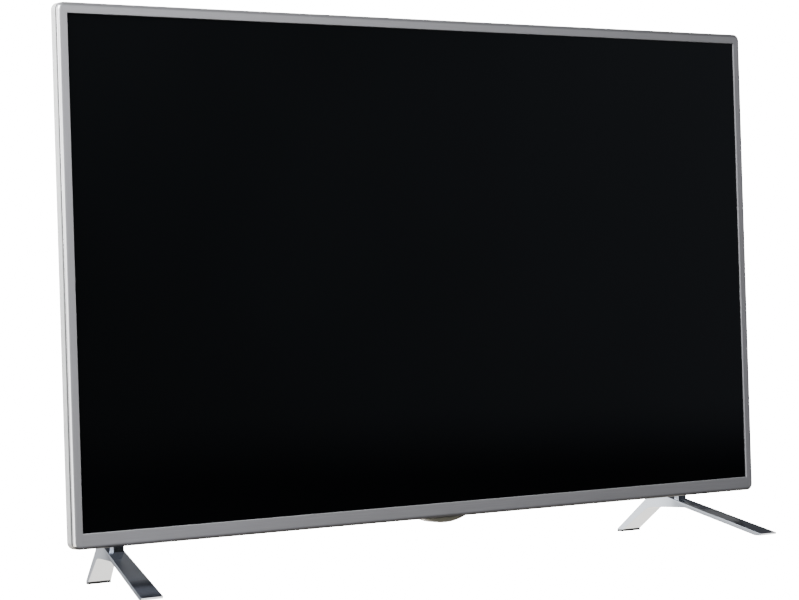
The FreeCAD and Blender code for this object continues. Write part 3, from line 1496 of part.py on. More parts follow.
def is_cross_edge(feature, name):
    """True for an edge that runs straight across, along X."""
    first, last = [vertex.Point for vertex in feature.Shape.getElement(name).Vertexes]
    return abs(first.y - last.y) < 0.01 and abs(first.x - last.x) > 1


def foot_screw_heights():
    return [f"(foot_screw_low + {level} * foot_screw_pitch)" for level in (0, 1)]


def make_foot(side, name):
    """A bent blade with a neck that stands up into the cabinet, bored from behind for its screws."""
    blade = common(name + "_trimmed", make_blade(side, name), plan_prism(side, name))
    x = f"({side} * {NECK_X})"
    neck = box(
        name + "_neck", x, at("neck_front"), NECK_FOOT, "neck_wide", "neck_deep", f"neck_top - {NECK_FOOT}"
    )
    bores = []
    for level, z in enumerate(foot_screw_heights()):
        start = at(f"({NECK_BACK} - foot_screw_long)")
        bores.append(
            rod(f"{name}_bore_{level}", x, start, z, "screw_shank + pin_gap", "foot_screw_long + 1", "y")
        )
    keep(cut(name + "_bored", fuse(name + "_whole", [blade, neck]), bores), name)


def make_foot_pads():
    """A rubber strip under the back end of each foot, trimmed to the foot's outline."""
    strips = []
    for side, name in ((-1, "left_pad"), (1, "right_pad")):
        x = f"({side} * ({NECK_X} - (heel_inner + heel_outer) / 2))"
        y = at("(rear_reach - heel_contact)")
        block = box(name + "_block", x, y, "0", "2 * (heel_inner - heel_outer)", "heel_contact", "pad_thick")
        strips.append(common(name, block, plan_prism(side, name)))
    keep(group("pad_pair", strips), "foot_pads")


def make_foot_brackets():
    """Steel sockets for the necks, stepped up to flanges on the back of the pan."""
    brackets = []
    screws = []
    flange_low = f"({OPENING_Z} - {MOUTH_HIGH} / 2 + tray_slope + 1)"
    for side, name in ((-1, "left"), (1, "right")):
        x = f"({side} * {NECK_X})"
        wide = "(neck_wide + 2 * fit_gap + 2 * bracket_wall)"
        front = "(neck_front - fit_gap - bracket_wall)"
        deep = "(neck_deep + 2 * fit_gap + 2 * bracket_wall)"
        low = f"({COVER_FLOOR} + fit_gap)"
        top = "(neck_top + fit_gap + bracket_wall)"
        shell = box(name + "_socket_block", x, at(front), low, wide, deep, f"{top} - {low}")
        web = box(
            name + "_web", x, at(front), low, wide, "bracket_wall", f"{flange_low} + bracket_wall - {low}"
        )
        reach = f"({front} + bracket_wall - backlight_depth)"
        shelf = box(name + "_shelf", x, at("backlight_depth"), flange_low, wide, reach, "bracket_wall")
        high = f"(bracket_top - {flange_low})"
        flange = box(name + "_flange", x, at("backlight_depth"), flange_low, wide, "bracket_wall", high)
        whole = fuse(name + "_bracket_blank", [shell, web, shelf, flange])
        size = ("neck_wide + 2 * fit_gap", "neck_deep + 2 * fit_gap")
        depth = at("(neck_front - fit_gap)")
        room = box(
            name + "_room", x, depth, f"{low} - 1", size[0], size[1], f"neck_top + fit_gap + 1 - {low}"
        )
        tools = [room]
        back = f"({NECK_BACK} + fit_gap + bracket_wall)"
        for level, z in enumerate(foot_screw_heights()):
            start = at(f"({NECK_BACK} + fit_gap / 2)")
            tag = f"{name}_{level}"
            tools.append(
                rod(f"socket_hole_{tag}", x, start, z, "screw_shank + pin_gap", "2 * bracket_wall + 1", "y")
            )
            screws.append(make_screw(f"foot_screw_{tag}", x, z, back, f"({NECK_BACK} - foot_screw_long)"))
        for hand in (-1, 1):
            hole_x = f"({x} + {hand} * flange_screw_pitch / 2)"
            z = "(bracket_top - 7)"
            start = at("(backlight_depth - 1)")
            tag = f"{name}_{hand + 1}"
            tools.append(
                rod(f"flange_hole_{tag}", hole_x, start, z, "screw_shank + pin_gap", "bracket_wall + 2", "y")
            )
            head = "(backlight_depth + bracket_wall)"
            screws.append(
                make_screw(f"flange_screw_{tag}", hole_x, z, head, "backlight_depth", "(screw_head - 0.4)")
            )
        merged = [fuse(name + "_bracket_space", tools[:3])] + tools[3:]
        brackets.append(cut(name + "_bracket", whole, merged))
    keep(group("bracket_pair", brackets), "foot_brackets")
    keep(group("foot_screw_set", screws), "foot_screws")


def rounded_path(points, widest):
    """A wire through points, each corner an arc as large as its runs allow, up to the widest radius."""
    edges = []
    start = points[0]
    for index in range(1, len(points) - 1):
        corner = points[index]
        before = points[index - 1] - corner
        after = points[index + 1] - corner
        shorter = min(before.Length, after.Length)
        before.normalize()
        after.normalize()
        half = before.getAngle(after) / 2
        bend = min(0.45 * shorter * math.tan(half), widest)
        back = bend / math.tan(half)
        first = corner + before * back
        last = corner + after * back
        inward = (before + after).normalize()
        middle = corner + inward * (bend / math.sin(half) - bend)
        edges.append(Part.LineSegment(start, first).toShape())
        edges.append(Part.Arc(first, middle, last).toShape())
        start = last
    edges.append(Part.LineSegment(start, points[-1]).toShape())
    return Part.Wire(edges)


def lead(places):
    """A round lead through places given as X, depth behind the face, and Z."""
    face = number(FACE)
    points = [V(x, face + depth, z) for x, depth, z in places]
    path = rounded_path(points, number("lead_bend"))
    ring = Part.Circle(points[0], points[1] - points[0], number("lead_radius"))
    return path.makePipeShell([Part.Wire([ring.toShape()])], True, True)


def make_leads():
    """Speaker, supply and backlight leads, each whole along its route over the pan's back."""
    rest = number("backlight_depth") + number("lead_radius") + 0.2
    over = number(BOARD_BACK) + 2.4
    plug_x = number(f"({MAIN_X} - 0.44 * main_wide - 3)")
    plug_z = number(f"({MAIN_LOW} + 0.62 * main_high)")
    lane = number(MAIN_LEFT) - 2
    box_x = number(f"({SPEAKER_X} - speaker_wide / 2)")
    box_z = number("(speaker_low + speaker_high - 13)")
    exit_depth = number("(speaker_front + 8.5)")
    cross_z = number("(mount_low - mount_radius - 11.5)")
    turn = box_x - 14
    right = [(box_x, exit_depth, box_z), (turn, exit_depth, box_z), (turn, rest, box_z)]
    right += [(lane, rest, box_z + 13), (lane, rest, plug_z + 2.5), (lane, over, plug_z + 2.5)]
    right += [(plug_x, over, plug_z + 2.5)]
    second = lane - 3
    left = [(-box_x, exit_depth, box_z), (-turn, exit_depth, box_z), (-turn, rest, box_z)]
    left += [(-turn, rest, cross_z), (second, rest, cross_z), (second, rest, plug_z - 3)]
    left += [(second, over, plug_z - 3), (plug_x, over, plug_z - 3)]
    keep(made("speaker_wires", Part.makeCompound([lead(left), lead(right)])), "speaker_leads")

    supply_x = number(f"({POWER_X} + 0.44 * power_wide + 3)")
    supply_z = number("(power_low + 0.66 * power_high)")
    supply = [(supply_x, over, supply_z + 6), (supply_x + 20, over, supply_z + 6)]
    supply += [(supply_x + 20, rest, supply_z + 6), (supply_x + 20, rest, plug_z + 12)]
    supply += [(second - 4, rest, plug_z + 12), (second - 4, over, plug_z + 12), (plug_x, over, plug_z + 12)]
    keep(made("supply_wire", lead(supply)), "supply_lead")

    backlight = []
    for step in (0, 3.2):
        end = (supply_x + 17, number("backlight_depth"), supply_z - 6 + step)
        corner = (supply_x + 17, over, supply_z - 6 + step)
        backlight.append(lead([(supply_x, over, supply_z - 6 + step), corner, end]))
    keep(made("backlight_wires", Part.makeCompound(backlight)), "backlight_leads")


def ribbon(points, thick, width_axis):
    """A flat cable: a rounded path thickened and drawn out across its width."""
    path = rounded_path(points, number("lead_bend"))
    lifted = path.copy()
    side = (points[1] - points[0]).cross(width_axis).normalize()
    lifted.translate(side * thick)
    start = Part.makeLine(path.Vertexes[0].Point, lifted.Vertexes[0].Point)
    end = Part.makeLine(path.Vertexes[-1].Point, lifted.Vertexes[-1].Point)
    outline = Part.Wire(Part.__sortEdges__(path.Edges + [end] + lifted.Edges + [start]))
    return Part.Face(outline).extrude(width_axis)


def make_video_cable():
    """The flat cable from the main board to the timing board, folded square on the pan."""
    face = number(FACE)
    rest = face + number("backlight_depth") + 0.1
    over = face + number(BOARD_BACK) + 1.6
    thick = number("cable_thick")
    wide = number("cable_wide")
    start_x = number(f"({MAIN_X} - 0.44 * main_wide - 3)")
    low = number(f"({MAIN_LOW} + 0.30 * main_high)") - wide / 2
    drop_x = number(MAIN_LEFT) - 18
    end_x = number("0.25 * timing_wide") - wide / 2
    across = [V(start_x, over, low), V(drop_x, over, low), V(drop_x - 8, rest, low), V(end_x, rest, low)]
    level = ribbon(across, thick, V(0, 0, wide))
    plug_top = number("(timing_low + 0.82 * timing_high + 2.5)")
    down = [V(end_x, over, plug_top), V(end_x, over, plug_top + 12), V(end_x, rest, plug_top + 20)]
    down += [V(end_x, rest, low + wide)]
    upright = ribbon(down, thick, V(wide, 0, 0))
    keep(made("flat_cable", level.fuse(upright).removeSplitter()), "video_cable")


def make_wifi_module():
    """The small radio board on the back of the pan."""
    y = at("backlight_depth")
    plate = box("radio_plate", "radio_x", y, "radio_low", "radio_wide", "radio_thick", "radio_high")
    x = "(radio_x - radio_wide / 6)"
    y = at("(backlight_depth + radio_thick)")
    z = "(radio_low + radio_high * 0.15)"
    can = box("radio_can", x, y, z, "radio_wide / 2", "radio_can", "radio_high * 0.7")
    keep(fuse("radio", [plate, can]), "wifi_module")


def check_and_write():
    """Stop on any object that failed or any cut that removed nothing, then write one file a sub-part."""
    doc.recompute()
    for thing in doc.Objects:
        bad = [state for state in thing.State if state in ("Invalid", "Error")]
        if bad:
            raise RuntimeError(f"{thing.Name} is in state {bad}")
    for thing in doc.Objects:
        if thing.TypeId in ("PartDesign::Pocket", "PartDesign::SubtractiveLoft"):
            before = thing.BaseFeature.Shape.Volume
            if before - thing.Shape.Volume < 0.01:
                raise RuntimeError(f"{thing.Name} removed nothing")
    os.makedirs("parts", exist_ok=True)
    for thing in kept:
        shape = thing.Shape
        if shape.isNull() or not shape.isValid() or not shape.Solids:
            raise RuntimeError(f"{thing.Label} has no valid solid")
        shape.exportStep(f"parts/{thing.Label}.step")
    print(len(kept), "sub-parts written")


make_front_bezel()
make_panel()
make_backlight()
make_source_boards()
make_rear_cover()
make_wall_mount()
make_cover_screws()
make_boards()
make_heat_sinks()
make_power_parts()
make_sockets()
make_mains_inlet()
for hand in (-1, 1):
    make_speaker(hand)
make_pod()
make_key_board()
make_joystick()
for hand, foot_name in ((-1, "left_foot"), (1, "right_foot")):
    make_foot(hand, foot_name)
make_foot_pads()
make_foot_brackets()
make_leads()
make_video_cable()
make_wifi_module()
check_and_write()
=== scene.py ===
"""Dresses the fixed frame of a flat screen television with pieces, finishes, light and a camera."""

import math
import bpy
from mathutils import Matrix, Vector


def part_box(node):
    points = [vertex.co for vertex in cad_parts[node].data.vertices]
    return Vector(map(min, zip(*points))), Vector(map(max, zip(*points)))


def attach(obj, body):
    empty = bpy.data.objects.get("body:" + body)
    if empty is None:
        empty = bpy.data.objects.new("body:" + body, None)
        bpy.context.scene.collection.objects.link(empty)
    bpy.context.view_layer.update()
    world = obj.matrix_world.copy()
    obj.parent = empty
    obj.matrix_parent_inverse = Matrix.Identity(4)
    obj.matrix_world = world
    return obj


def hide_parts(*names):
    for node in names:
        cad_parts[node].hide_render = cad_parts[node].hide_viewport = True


bl_info = {
    "name": "Flat Screen Television",
    "version": (1, 0, 0),
    "blender": (4, 5, 0),
    "location": "View3D > Sidebar > Television",
    "description": "Finished pieces, finishes, studio and camera for a flat screen television",
    "category": "Object",
}

import bpy
from bpy.props import FloatProperty, FloatVectorProperty, PointerProperty
from mathutils import Matrix, Vector

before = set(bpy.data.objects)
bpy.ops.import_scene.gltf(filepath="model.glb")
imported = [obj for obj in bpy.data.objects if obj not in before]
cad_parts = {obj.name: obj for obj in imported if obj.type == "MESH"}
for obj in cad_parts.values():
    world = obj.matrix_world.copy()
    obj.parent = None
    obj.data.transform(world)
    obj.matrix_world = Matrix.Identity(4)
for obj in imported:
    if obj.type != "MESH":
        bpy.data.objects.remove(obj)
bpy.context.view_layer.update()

# Places read from the fixed frame, in metres. The opening's four sides are those of the glass, less
# what the bezel laps over it.
BEZEL_LOW, BEZEL_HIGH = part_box("front_bezel")
GLASS_LOW, GLASS_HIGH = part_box("display_glass")
POD_LOW, POD_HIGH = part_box("sensor_pod")
FACE_Y = BEZEL_LOW.y
SKIRT_DEPTH = BEZEL_HIGH.y - BEZEL_LOW.y
GLASS_LAP = 0.0035
OPENING = (
    GLASS_LOW.x + GLASS_LAP, GLASS_HIGH.x - GLASS_LAP, GLASS_LOW.z + GLASS_LAP, GLASS_HIGH.z - GLASS_LAP
)

# Past this share of the way from its middle to its outline, the bezel's finish is that of its rim.
RIM_SHARE = 0.985

# The toe's top face, where the feet carry painted shade: its rise for each metre towards the back, and its
# height where Y is 0.
TOE_RISE = 0.3168
TOE_LEVEL = 0.0336

# How far a cutter reaches past what it cuts, how near counts as touching, how far from the opening the
# rim begins, and how near points of a node's mesh are to be merged.
CUT_PAST = 0.002
TOUCH = 0.00001
RIM_MARGIN = 0.001
MERGE_GAP = 0.00002

# Facets of the bezel's roundings and of the drum that the pod is cut from.
ROUND_STEPS = 10
POD_FACETS = 512

# Where the camera stands, its turn about Z, lift and roll in degrees, and its film's width in mm.
CAMERA_PLACE = (-1.87505, -2.43975, 0.28842)
CAMERA_TURN = (-37.0043, -0.1262, -1.758)
SENSOR_WIDTH = 36.0

# Each light's name, place, aim, width, height and power in watts, and whether gloss mirrors it.
LIGHTS = (
    ("left softbox", (-1.25, -0.62, 1.4), (-0.3, 0.0, 0.55), 1.2, 1.2, 62.0, True),
    ("overhead", (0.0, 0.3, 3.2), (0.0, 0.0, 0.2), 3.0, 2.0, 45.0, False),
    ("back left softbox", (-2.4, 3.0, 1.4), (0.0, 0.0, 0.3), 2.4, 1.8, 120.0, True),
    ("back right softbox", (2.6, 1.5, 1.3), (0.2, 0.0, 0.3), 1.8, 1.6, 60.0, False),
)

# Bands of the studio room: an axis, then places along it from -1 to 1, each with its colour or grey.
ROOM_HEIGHTS = (
    (0.0, 0.0, 1.0), (-1.0, (1.12, 1.05, 0.92)), (-0.45, (1.08, 1.01, 0.89)),
    (-0.2, (0.022, 0.022, 0.023)), (-0.062, (0.003, 0.003, 0.0036)), (-0.042, (0.056, 0.061, 0.066)),
    (0.15, (0.07, 0.078, 0.086)), (0.3, (0.03, 0.03, 0.033)), (0.48, (0.052, 0.051, 0.052)),
    (0.7, (0.024, 0.026, 0.03)), (1.0, (0.11, 0.116, 0.13))
)
ROOM_BEFORE_SCREEN = (
    (0.8, 0.6, 0.0), (-0.4, 1.0), (-0.13, (0.5, 0.5, 0.48)), (0.14, (1.5, 1.5, 1.6)), (0.35, 1.0)
)
ROOM_LEFT_WALL = (
    (-0.85, 0.53, 0.0), (0.45, 0.0), (0.53, (0.11, 0.112, 0.118)), (0.6, 0.5), (0.7, 0.5), (0.85, 0.32),
    (0.94, 0.45)
)
ROOM_LEFT_STRIP = ((-1.0, 0.0, 0.0), (0.94, 0.0), (0.98, (1.1, 1.1, 1.08)), (1.0, (1.2, 1.2, 1.18)))
ROOM_FRONT_LEFT = ((-0.8, -0.6, 0.0), (0.7, 0.0), (0.8, 1.0), (1.0, 1.2))
ROOM_FILL = ((0.0, 0.0, 1.0), (-1.0, 0.1), (-0.1, 0.15), (0.2, (0.5, 0.5, 0.51)), (1.0, 1.0))
GLOSS_STRENGTH = 2.9
FILL_STRENGTH = 0.2


# Sizes and colours a user would change


class CabinetSettings(bpy.types.PropertyGroup):
    corner_round: FloatProperty(
        name="Corner rounding", description="Radius of the bezel's four corners seen from the front",
        default=0.008, min=0.001, unit="LENGTH"
    )
    front_round: FloatProperty(
        name="Front rounding", description="Radius between the bezel's face and its side",
        default=0.003, min=0.0002, unit="LENGTH"
    )
    lip_round: FloatProperty(
        name="Lip rounding", description="Radius of the edge next to the screen",
        default=0.0006, min=0.0001, unit="LENGTH"
    )
    wall: FloatProperty(
        name="Wall", description="Thickness of the bezel's skirt", default=0.0022, min=0.0005, unit="LENGTH"
    )
    plate: FloatProperty(
        name="Plate", description="Thickness of the bezel's face", default=0.002, min=0.0005, unit="LENGTH"
    )
    shell_edge: FloatProperty(
        name="Shell edge", description="Rounding along the rear cover's outer edges",
        default=0.0009, min=0.0001, unit="LENGTH"
    )
    bezel_colour: FloatVectorProperty(
        name="Bezel colour", description="Silver of the hairline bezel", subtype="COLOR", size=3,
        default=(0.375, 0.375, 0.397), min=0.0, max=1.0
    )
    cover_colour: FloatVectorProperty(
        name="Cover colour", description="Light silver of the rear cover", subtype="COLOR", size=3,
        default=(0.79, 0.795, 0.8), min=0.0, max=1.0
    )
    screen_colour: FloatVectorProperty(
        name="Screen colour", description="Near black of the switched-off screen", subtype="COLOR", size=3,
        default=(0.0022, 0.0025, 0.003), min=0.0, max=1.0
    )


class PodSettings(bpy.types.PropertyGroup):
    soft_edge: FloatProperty(
        name="Soft edge", description="Rounding along the pod's curved edges",
        default=0.0016, min=0.0001, unit="LENGTH"
    )
    smoke_colour: FloatVectorProperty(
        name="Smoke colour", description="Olive grey of the smoked pod", subtype="COLOR", size=3,
        default=(0.31, 0.295, 0.23), min=0.0, max=1.0
    )


class FootSettings(bpy.types.PropertyGroup):
    edge_round: FloatProperty(
        name="Edge rounding", description="Rounding along the edges of the metal blades",
        default=0.0004, min=0.0001, unit="LENGTH"
    )
    toe_cut: FloatProperty(
        name="Toe cut", description="How far the toe's end slopes back under its top edge",
        default=0.0008, min=0.0, unit="LENGTH"
    )
    metal_colour: FloatVectorProperty(
        name="Foot colour", description="Silver of the polished feet", subtype="COLOR", size=3,
        default=(0.49, 0.52, 0.575), min=0.0, max=1.0
    )


class StageSettings(bpy.types.PropertyGroup):
    lens: FloatProperty(
        name="Lens", description="Focal length of the camera in millimetres", default=122.265, min=10.0
    )
    floor_size: FloatProperty(
        name="Floor size", description="Side of the square floor", default=60.0, min=2.0, unit="LENGTH"
    )
    floor_colour: FloatVectorProperty(
        name="Floor colour", description="Pale colour of the floor", subtype="COLOR", size=3,
        default=(0.9, 0.9, 0.9), min=0.0, max=1.0
    )
    floor_glow: FloatProperty(
        name="Floor glow", description="Light of the lit table that washes out the shadows",
        default=20.0, min=0.0
    )
    backdrop_glow: FloatProperty(
        name="Backdrop glow", description="Brightness of the white backdrop", default=18.0, min=0.0
    )


def settings(name):
    """One of this add-on's groups of settings on the scene."""
    return getattr(bpy.context.scene, "television_" + name)


# Finishes


def set_stops(ramp, stops):
    """Give a colour ramp its (position, colour) stops, where a plain number stands for a grey."""
    elements = ramp.color_ramp.elements
    while len(elements) < len(stops):
        elements.new(0.5)
    for element, (position, colour) in zip(elements, stops):
        element.position = position
        if not hasattr(colour, "__len__"):
            colour = (colour, colour, colour)
        element.color = (*colour, 1.0)


def feed(links, value, socket):
    """Link a node's output to a socket, or set a plain number there."""
    if hasattr(value, "links"):
        links.new(value, socket)
    else:
        socket.default_value = value


def mix_colours(tree, factor, first, second, blend):
    """Mix two linked colours by a factor in a material's or the room's nodes."""
    node = tree.nodes.new("ShaderNodeMix")
    node.data_type = "RGBA"
    node.blend_type = blend
    feed(tree.links, factor, node.inputs["Factor"])
    tree.links.new(first, node.inputs[6])
    tree.links.new(second, node.inputs[7])
    return node.outputs[2]


class Finish:
    """A material put together node by node on Object coordinates."""

    def __init__(self, name):
        self.material = bpy.data.materials.new(name)
        self.material.use_nodes = True
        self.tree = self.material.node_tree
        self.nodes = self.tree.nodes
        self.links = self.tree.links
        self.shader = self.nodes["Principled BSDF"]
        self.place = self.nodes.new("ShaderNodeTexCoord").outputs["Object"]

    def set(self, **sockets):
        """Set plain numbers and colours on the shader's own sockets."""
        for name, value in sockets.items():
            socket = self.shader.inputs[name.replace("_", " ")]
            if hasattr(value, "__len__") and len(value) == 3 and len(socket.default_value) == 4:
                value = (*value, 1.0)
            socket.default_value = value
        return self

    def join(self, output, socket):
        """Link an output to one of the shader's sockets."""
        self.links.new(output, self.shader.inputs[socket])
        return self

    def stretched(self, x, y, z):
        """Object coordinates scaled along each axis, so a pattern becomes streaks."""
        node = self.nodes.new("ShaderNodeMapping")
        node.inputs["Scale"].default_value = (x, y, z)
        self.links.new(self.place, node.inputs["Vector"])
        return node.outputs["Vector"]

    def noise(self, scale, detail=3.0, vector=None):
        """Soft cloudy noise, or streaks with a stretched vector."""
        node = self.nodes.new("ShaderNodeTexNoise")
        node.inputs["Scale"].default_value = scale
        node.inputs["Detail"].default_value = detail
        self.links.new(vector or self.place, node.inputs["Vector"])
        return node.outputs["Fac"]

    def cells(self, scale, feature="F1", vector=None):
        """Distances in a pattern of small cells."""
        node = self.nodes.new("ShaderNodeTexVoronoi")
        node.feature = feature
        node.inputs["Scale"].default_value = scale
        self.links.new(vector or self.place, node.inputs["Vector"])
        return node.outputs["Distance"]

    def ramp(self, value, *stops):
        """Turn a value into a colour or grey through (position, colour) stops."""
        node = self.nodes.new("ShaderNodeValToRGB")
        set_stops(node, stops)
        self.links.new(value, node.inputs["Fac"])
        return node.outputs["Color"]

    def mixed(self, factor, first, second, blend="MIX"):
        """Mix two linked colours by a number or a linked factor."""
        return mix_colours(self.tree, factor, first, second, blend)

    def tinted(self, colour, tint):
        """A linked colour multiplied by another."""
        return self.mixed(1.0, colour, tint, "MULTIPLY")

    def maths(self, operation, first, second=0.0, third=0.0):
        """One sum on linked values and plain numbers."""
        node = self.nodes.new("ShaderNodeMath")
        node.operation = operation
        for socket, value in zip(node.inputs, (first, second, third)):
            feed(self.links, value, socket)
        return node.outputs["Value"]

    def along(self, value, start, length):
        """The share of the way that a value has gone from a start along a length."""
        return self.maths("MULTIPLY_ADD", value, 1.0 / length, -start / length)

    def axes(self):
        """X, Y and Z of the place as three values."""
        node = self.nodes.new("ShaderNodeSeparateXYZ")
        self.links.new(self.place, node.inputs["Vector"])
        return node.outputs

    def bump(self, height, strength, distance):
        """Raise and sink the surface by a linked height."""
        node = self.nodes.new("ShaderNodeBump")
        node.inputs["Strength"].default_value = strength
        node.inputs["Distance"].default_value = distance
        self.links.new(height, node.inputs["Height"])
        self.links.new(node.outputs["Normal"], self.shader.inputs["Normal"])
        return self


def shade(colour, factor):
    """A lighter or darker version of a colour."""
    return tuple(min(1.0, part * factor) for part in colour)


def moulded(name, colour, roughness=0.5, grain=1600.0, depth=0.00003, spread=0.06, **more):
    """Moulded plastic: fine spark-eroded grain with slight cloudiness in colour and gloss."""
    finish = Finish(name)
    cloud = finish.noise(35.0, 4.0)
    tone = finish.ramp(cloud, (0.3, shade(colour, 1.0 - spread)), (0.7, shade(colour, 1.0 + spread)))
    finish.join(tone, "Base Color")
    finish.join(finish.ramp(cloud, (0.3, roughness - 0.04), (0.7, roughness + 0.04)), "Roughness")
    finish.bump(finish.noise(grain, 2.0), 0.35, depth)
    return finish.set(**more).material


def brushed(name, colour, roughness=0.32, streak=(40.0, 900.0, 900.0), spread=0.1, **more):
    """Rolled or brushed metal: long streaks in colour, gloss and height."""
    finish = Finish(name)
    lines = finish.noise(1.0, 4.0, finish.stretched(*streak))
    blotch = finish.noise(18.0, 3.0)
    light = finish.ramp(lines, (0.25, shade(colour, 1.0 - spread)), (0.75, shade(colour, 1.0 + spread)))
    dull = finish.ramp(blotch, (0.3, shade(colour, 0.9)), (0.7, shade(colour, 1.05)))
    finish.join(finish.mixed(0.35, light, dull), "Base Color")
    finish.join(finish.ramp(lines, (0.25, roughness - 0.06), (0.75, roughness + 0.08)), "Roughness")
    finish.bump(lines, 0.2, 0.00002)
    return finish.set(Metallic=1.0, **more).material


def circuit(name, colour, copper):
    """Lacquered circuit board: copper tracks under the lacquer and small soldered pads."""
    finish = Finish(name)
    tracks = finish.cells(260.0, "DISTANCE_TO_EDGE", finish.stretched(1.0, 0.05, 1.0))
    pads = finish.cells(420.0, "F1", finish.stretched(1.0, 0.05, 1.0))
    lacquer = finish.ramp(tracks, (0.03, shade(colour, 1.7)), (0.07, colour))
    solder = finish.ramp(pads, (0.16, copper), (0.19, shade(colour, 0.9)))
    mask = finish.ramp(pads, (0.16, 1.0), (0.19, 0.0))
    finish.join(finish.mixed(mask, lacquer, solder), "Base Color")
    finish.join(mask, "Metallic")
    finish.join(finish.ramp(pads, (0.16, 0.3), (0.19, 0.45)), "Roughness")
    finish.bump(tracks, 0.25, 0.00005)
    return finish.material


def rubbery(name, colour, roughness=0.75):
    """Rubber or lead sheath: matt, faintly mottled, with a soft skin."""
    finish = Finish(name)
    mottle = finish.noise(220.0, 4.0)
    finish.join(finish.ramp(mottle, (0.3, shade(colour, 0.8)), (0.75, shade(colour, 1.35))), "Base Color")
    finish.join(finish.ramp(mottle, (0.3, roughness - 0.08), (0.7, roughness + 0.08)), "Roughness")
    finish.bump(finish.noise(2600.0, 2.0), 0.4, 0.00003)
    return finish.set(Specular_IOR_Level=0.35).material


def clear(name, colour, roughness=0.12, transmission=0.75):
    """Clear or milky moulding with slight flow marks."""
    finish = Finish(name)
    flow = finish.noise(90.0, 3.0)
    finish.join(finish.ramp(flow, (0.35, shade(colour, 0.94)), (0.65, shade(colour, 1.04))), "Base Color")
    finish.join(finish.ramp(flow, (0.3, roughness), (0.7, roughness + 0.08)), "Roughness")
    finish.bump(flow, 0.08, 0.00005)
    return finish.set(Transmission_Weight=transmission, IOR=1.49).material


def hairline_silver():
    """The bezel's satin silver: hairlines along its four sides, polished bright side roundings, and painted
    shade on the top and bottom roundings and beside the joint with the cover.
    """
    colour = tuple(settings("cabinet").bezel_colour)
    finish = Finish("hairline silver")
    level_lines = finish.noise(1.0, 3.0, finish.stretched(22.0, 2200.0, 2200.0))
    upright_lines = finish.noise(1.0, 3.0, finish.stretched(2200.0, 2200.0, 22.0))
    x, y, z = finish.axes()
    beside = finish.maths("GREATER_THAN", finish.maths("ABSOLUTE", x), OPENING[1])
    lines = finish.mixed(beside, level_lines, upright_lines)
    cloud = finish.noise(9.0, 3.0)
    light = finish.ramp(lines, (0.3, shade(colour, 0.9)), (0.7, shade(colour, 1.08)))
    cooler = (colour[0] * 1.03, colour[1] * 1.03, colour[2] * 1.06)
    cast = finish.ramp(cloud, (0.35, shade(colour, 0.95)), (0.65, cooler))
    satin = finish.mixed(0.4, light, cast)

    # Where the place is: on the top or bottom rim, or on a side rim and not also on those.
    depth = finish.along(y, FACE_Y, SKIRT_DEPTH)
    across, upward = shares_of_outline(finish, x, z)
    level = finish.maths("GREATER_THAN", upward, RIM_SHARE)
    side = finish.maths("SUBTRACT", finish.maths("GREATER_THAN", across, RIM_SHARE), level)
    side = finish.maths("MAXIMUM", side, 0.0)

    # The side rounding is polished, and the skirt behind it is darkened beside the joint with the cover as
    # painted shade of the joint's gap.
    polish = finish.ramp(depth, (0.07, 0.0), (0.12, 1.0), (0.6, 1.0), (0.66, 0.0))
    polish = finish.maths("MULTIPLY", polish, side)
    bright = finish.ramp(cloud, (0.35, (0.84, 0.84, 0.86)), (0.65, (0.88, 0.88, 0.9)))
    shaded_by_joint = finish.tinted(satin, finish.ramp(depth, (0.6, 1.0), (0.66, 0.25)))
    silver = finish.mixed(side, satin, finish.mixed(polish, shaded_by_joint, bright))

    # Painted shade: the top and bottom roundings are darkened, and the skirt behind them isn't.
    shadow = finish.ramp(upward, (0.9855, 1.0), (0.9905, 0.4))
    shadow = finish.maths("MAXIMUM", shadow, finish.ramp(depth, (0.5, 0.0), (0.56, 1.0)))
    finish.join(finish.mixed(level, silver, finish.tinted(satin, shadow)), "Base Color")
    finish.join(polish, "Metallic")
    dull = finish.ramp(lines, (0.3, 0.36), (0.7, 0.46))
    finish.join(finish.maths("MULTIPLY_ADD", polish, -0.16, dull), "Roughness")
    finish.bump(lines, 0.12, 0.00003)
    return finish.set(Specular_IOR_Level=0.12).material


def shares_of_outline(finish, x, z):
    """How far a place lies from the middle towards the bezel's sides, and towards its top or bottom."""
    middle = (BEZEL_LOW + BEZEL_HIGH) / 2
    half = (BEZEL_HIGH - BEZEL_LOW) / 2
    over_middle = finish.maths("SUBTRACT", z, middle.z)
    across = finish.maths("DIVIDE", finish.maths("ABSOLUTE", x), half.x)
    upward = finish.maths("DIVIDE", finish.maths("ABSOLUTE", over_middle), half.z)
    return across, upward


def screen_black():
    """Switched-off screen: near black under a soft anti-glare skin."""
    colour = tuple(settings("cabinet").screen_colour)
    finish = Finish("dark screen")
    depth = finish.noise(2.2, 2.0)
    finish.join(finish.ramp(depth, (0.35, shade(colour, 0.8)), (0.65, shade(colour, 1.25))), "Base Color")
    finish.join(finish.ramp(finish.noise(400.0, 2.0), (0.3, 0.03), (0.7, 0.05)), "Roughness")
    return finish.set(IOR=1.33, Specular_IOR_Level=0.5).material


def cover_silver():
    """Rear cover: light satin paint over a fine moulded grain, with painted shade in the joint's gap beside
    the bezel.
    """
    colour = tuple(settings("cabinet").cover_colour)
    finish = Finish("light silver cover")
    cloud = finish.noise(35.0, 4.0)
    paint = finish.ramp(cloud, (0.3, shade(colour, 0.97)), (0.7, shade(colour, 1.03)))
    # Painted shade of the joint's gap: the cover's front rim beside the bezel is darkened.
    behind_bezel = finish.along(finish.axes()[1], BEZEL_HIGH.y, SKIRT_DEPTH)
    joint = finish.ramp(behind_bezel, (0.26, 0.25), (0.34, 1.0))
    finish.join(finish.tinted(paint, joint), "Base Color")
    finish.join(finish.ramp(cloud, (0.3, 0.38), (0.7, 0.46)), "Roughness")
    finish.bump(finish.noise(1300.0, 2.0), 0.35, 0.00004)
    return finish.set(Specular_IOR_Level=0.9).material


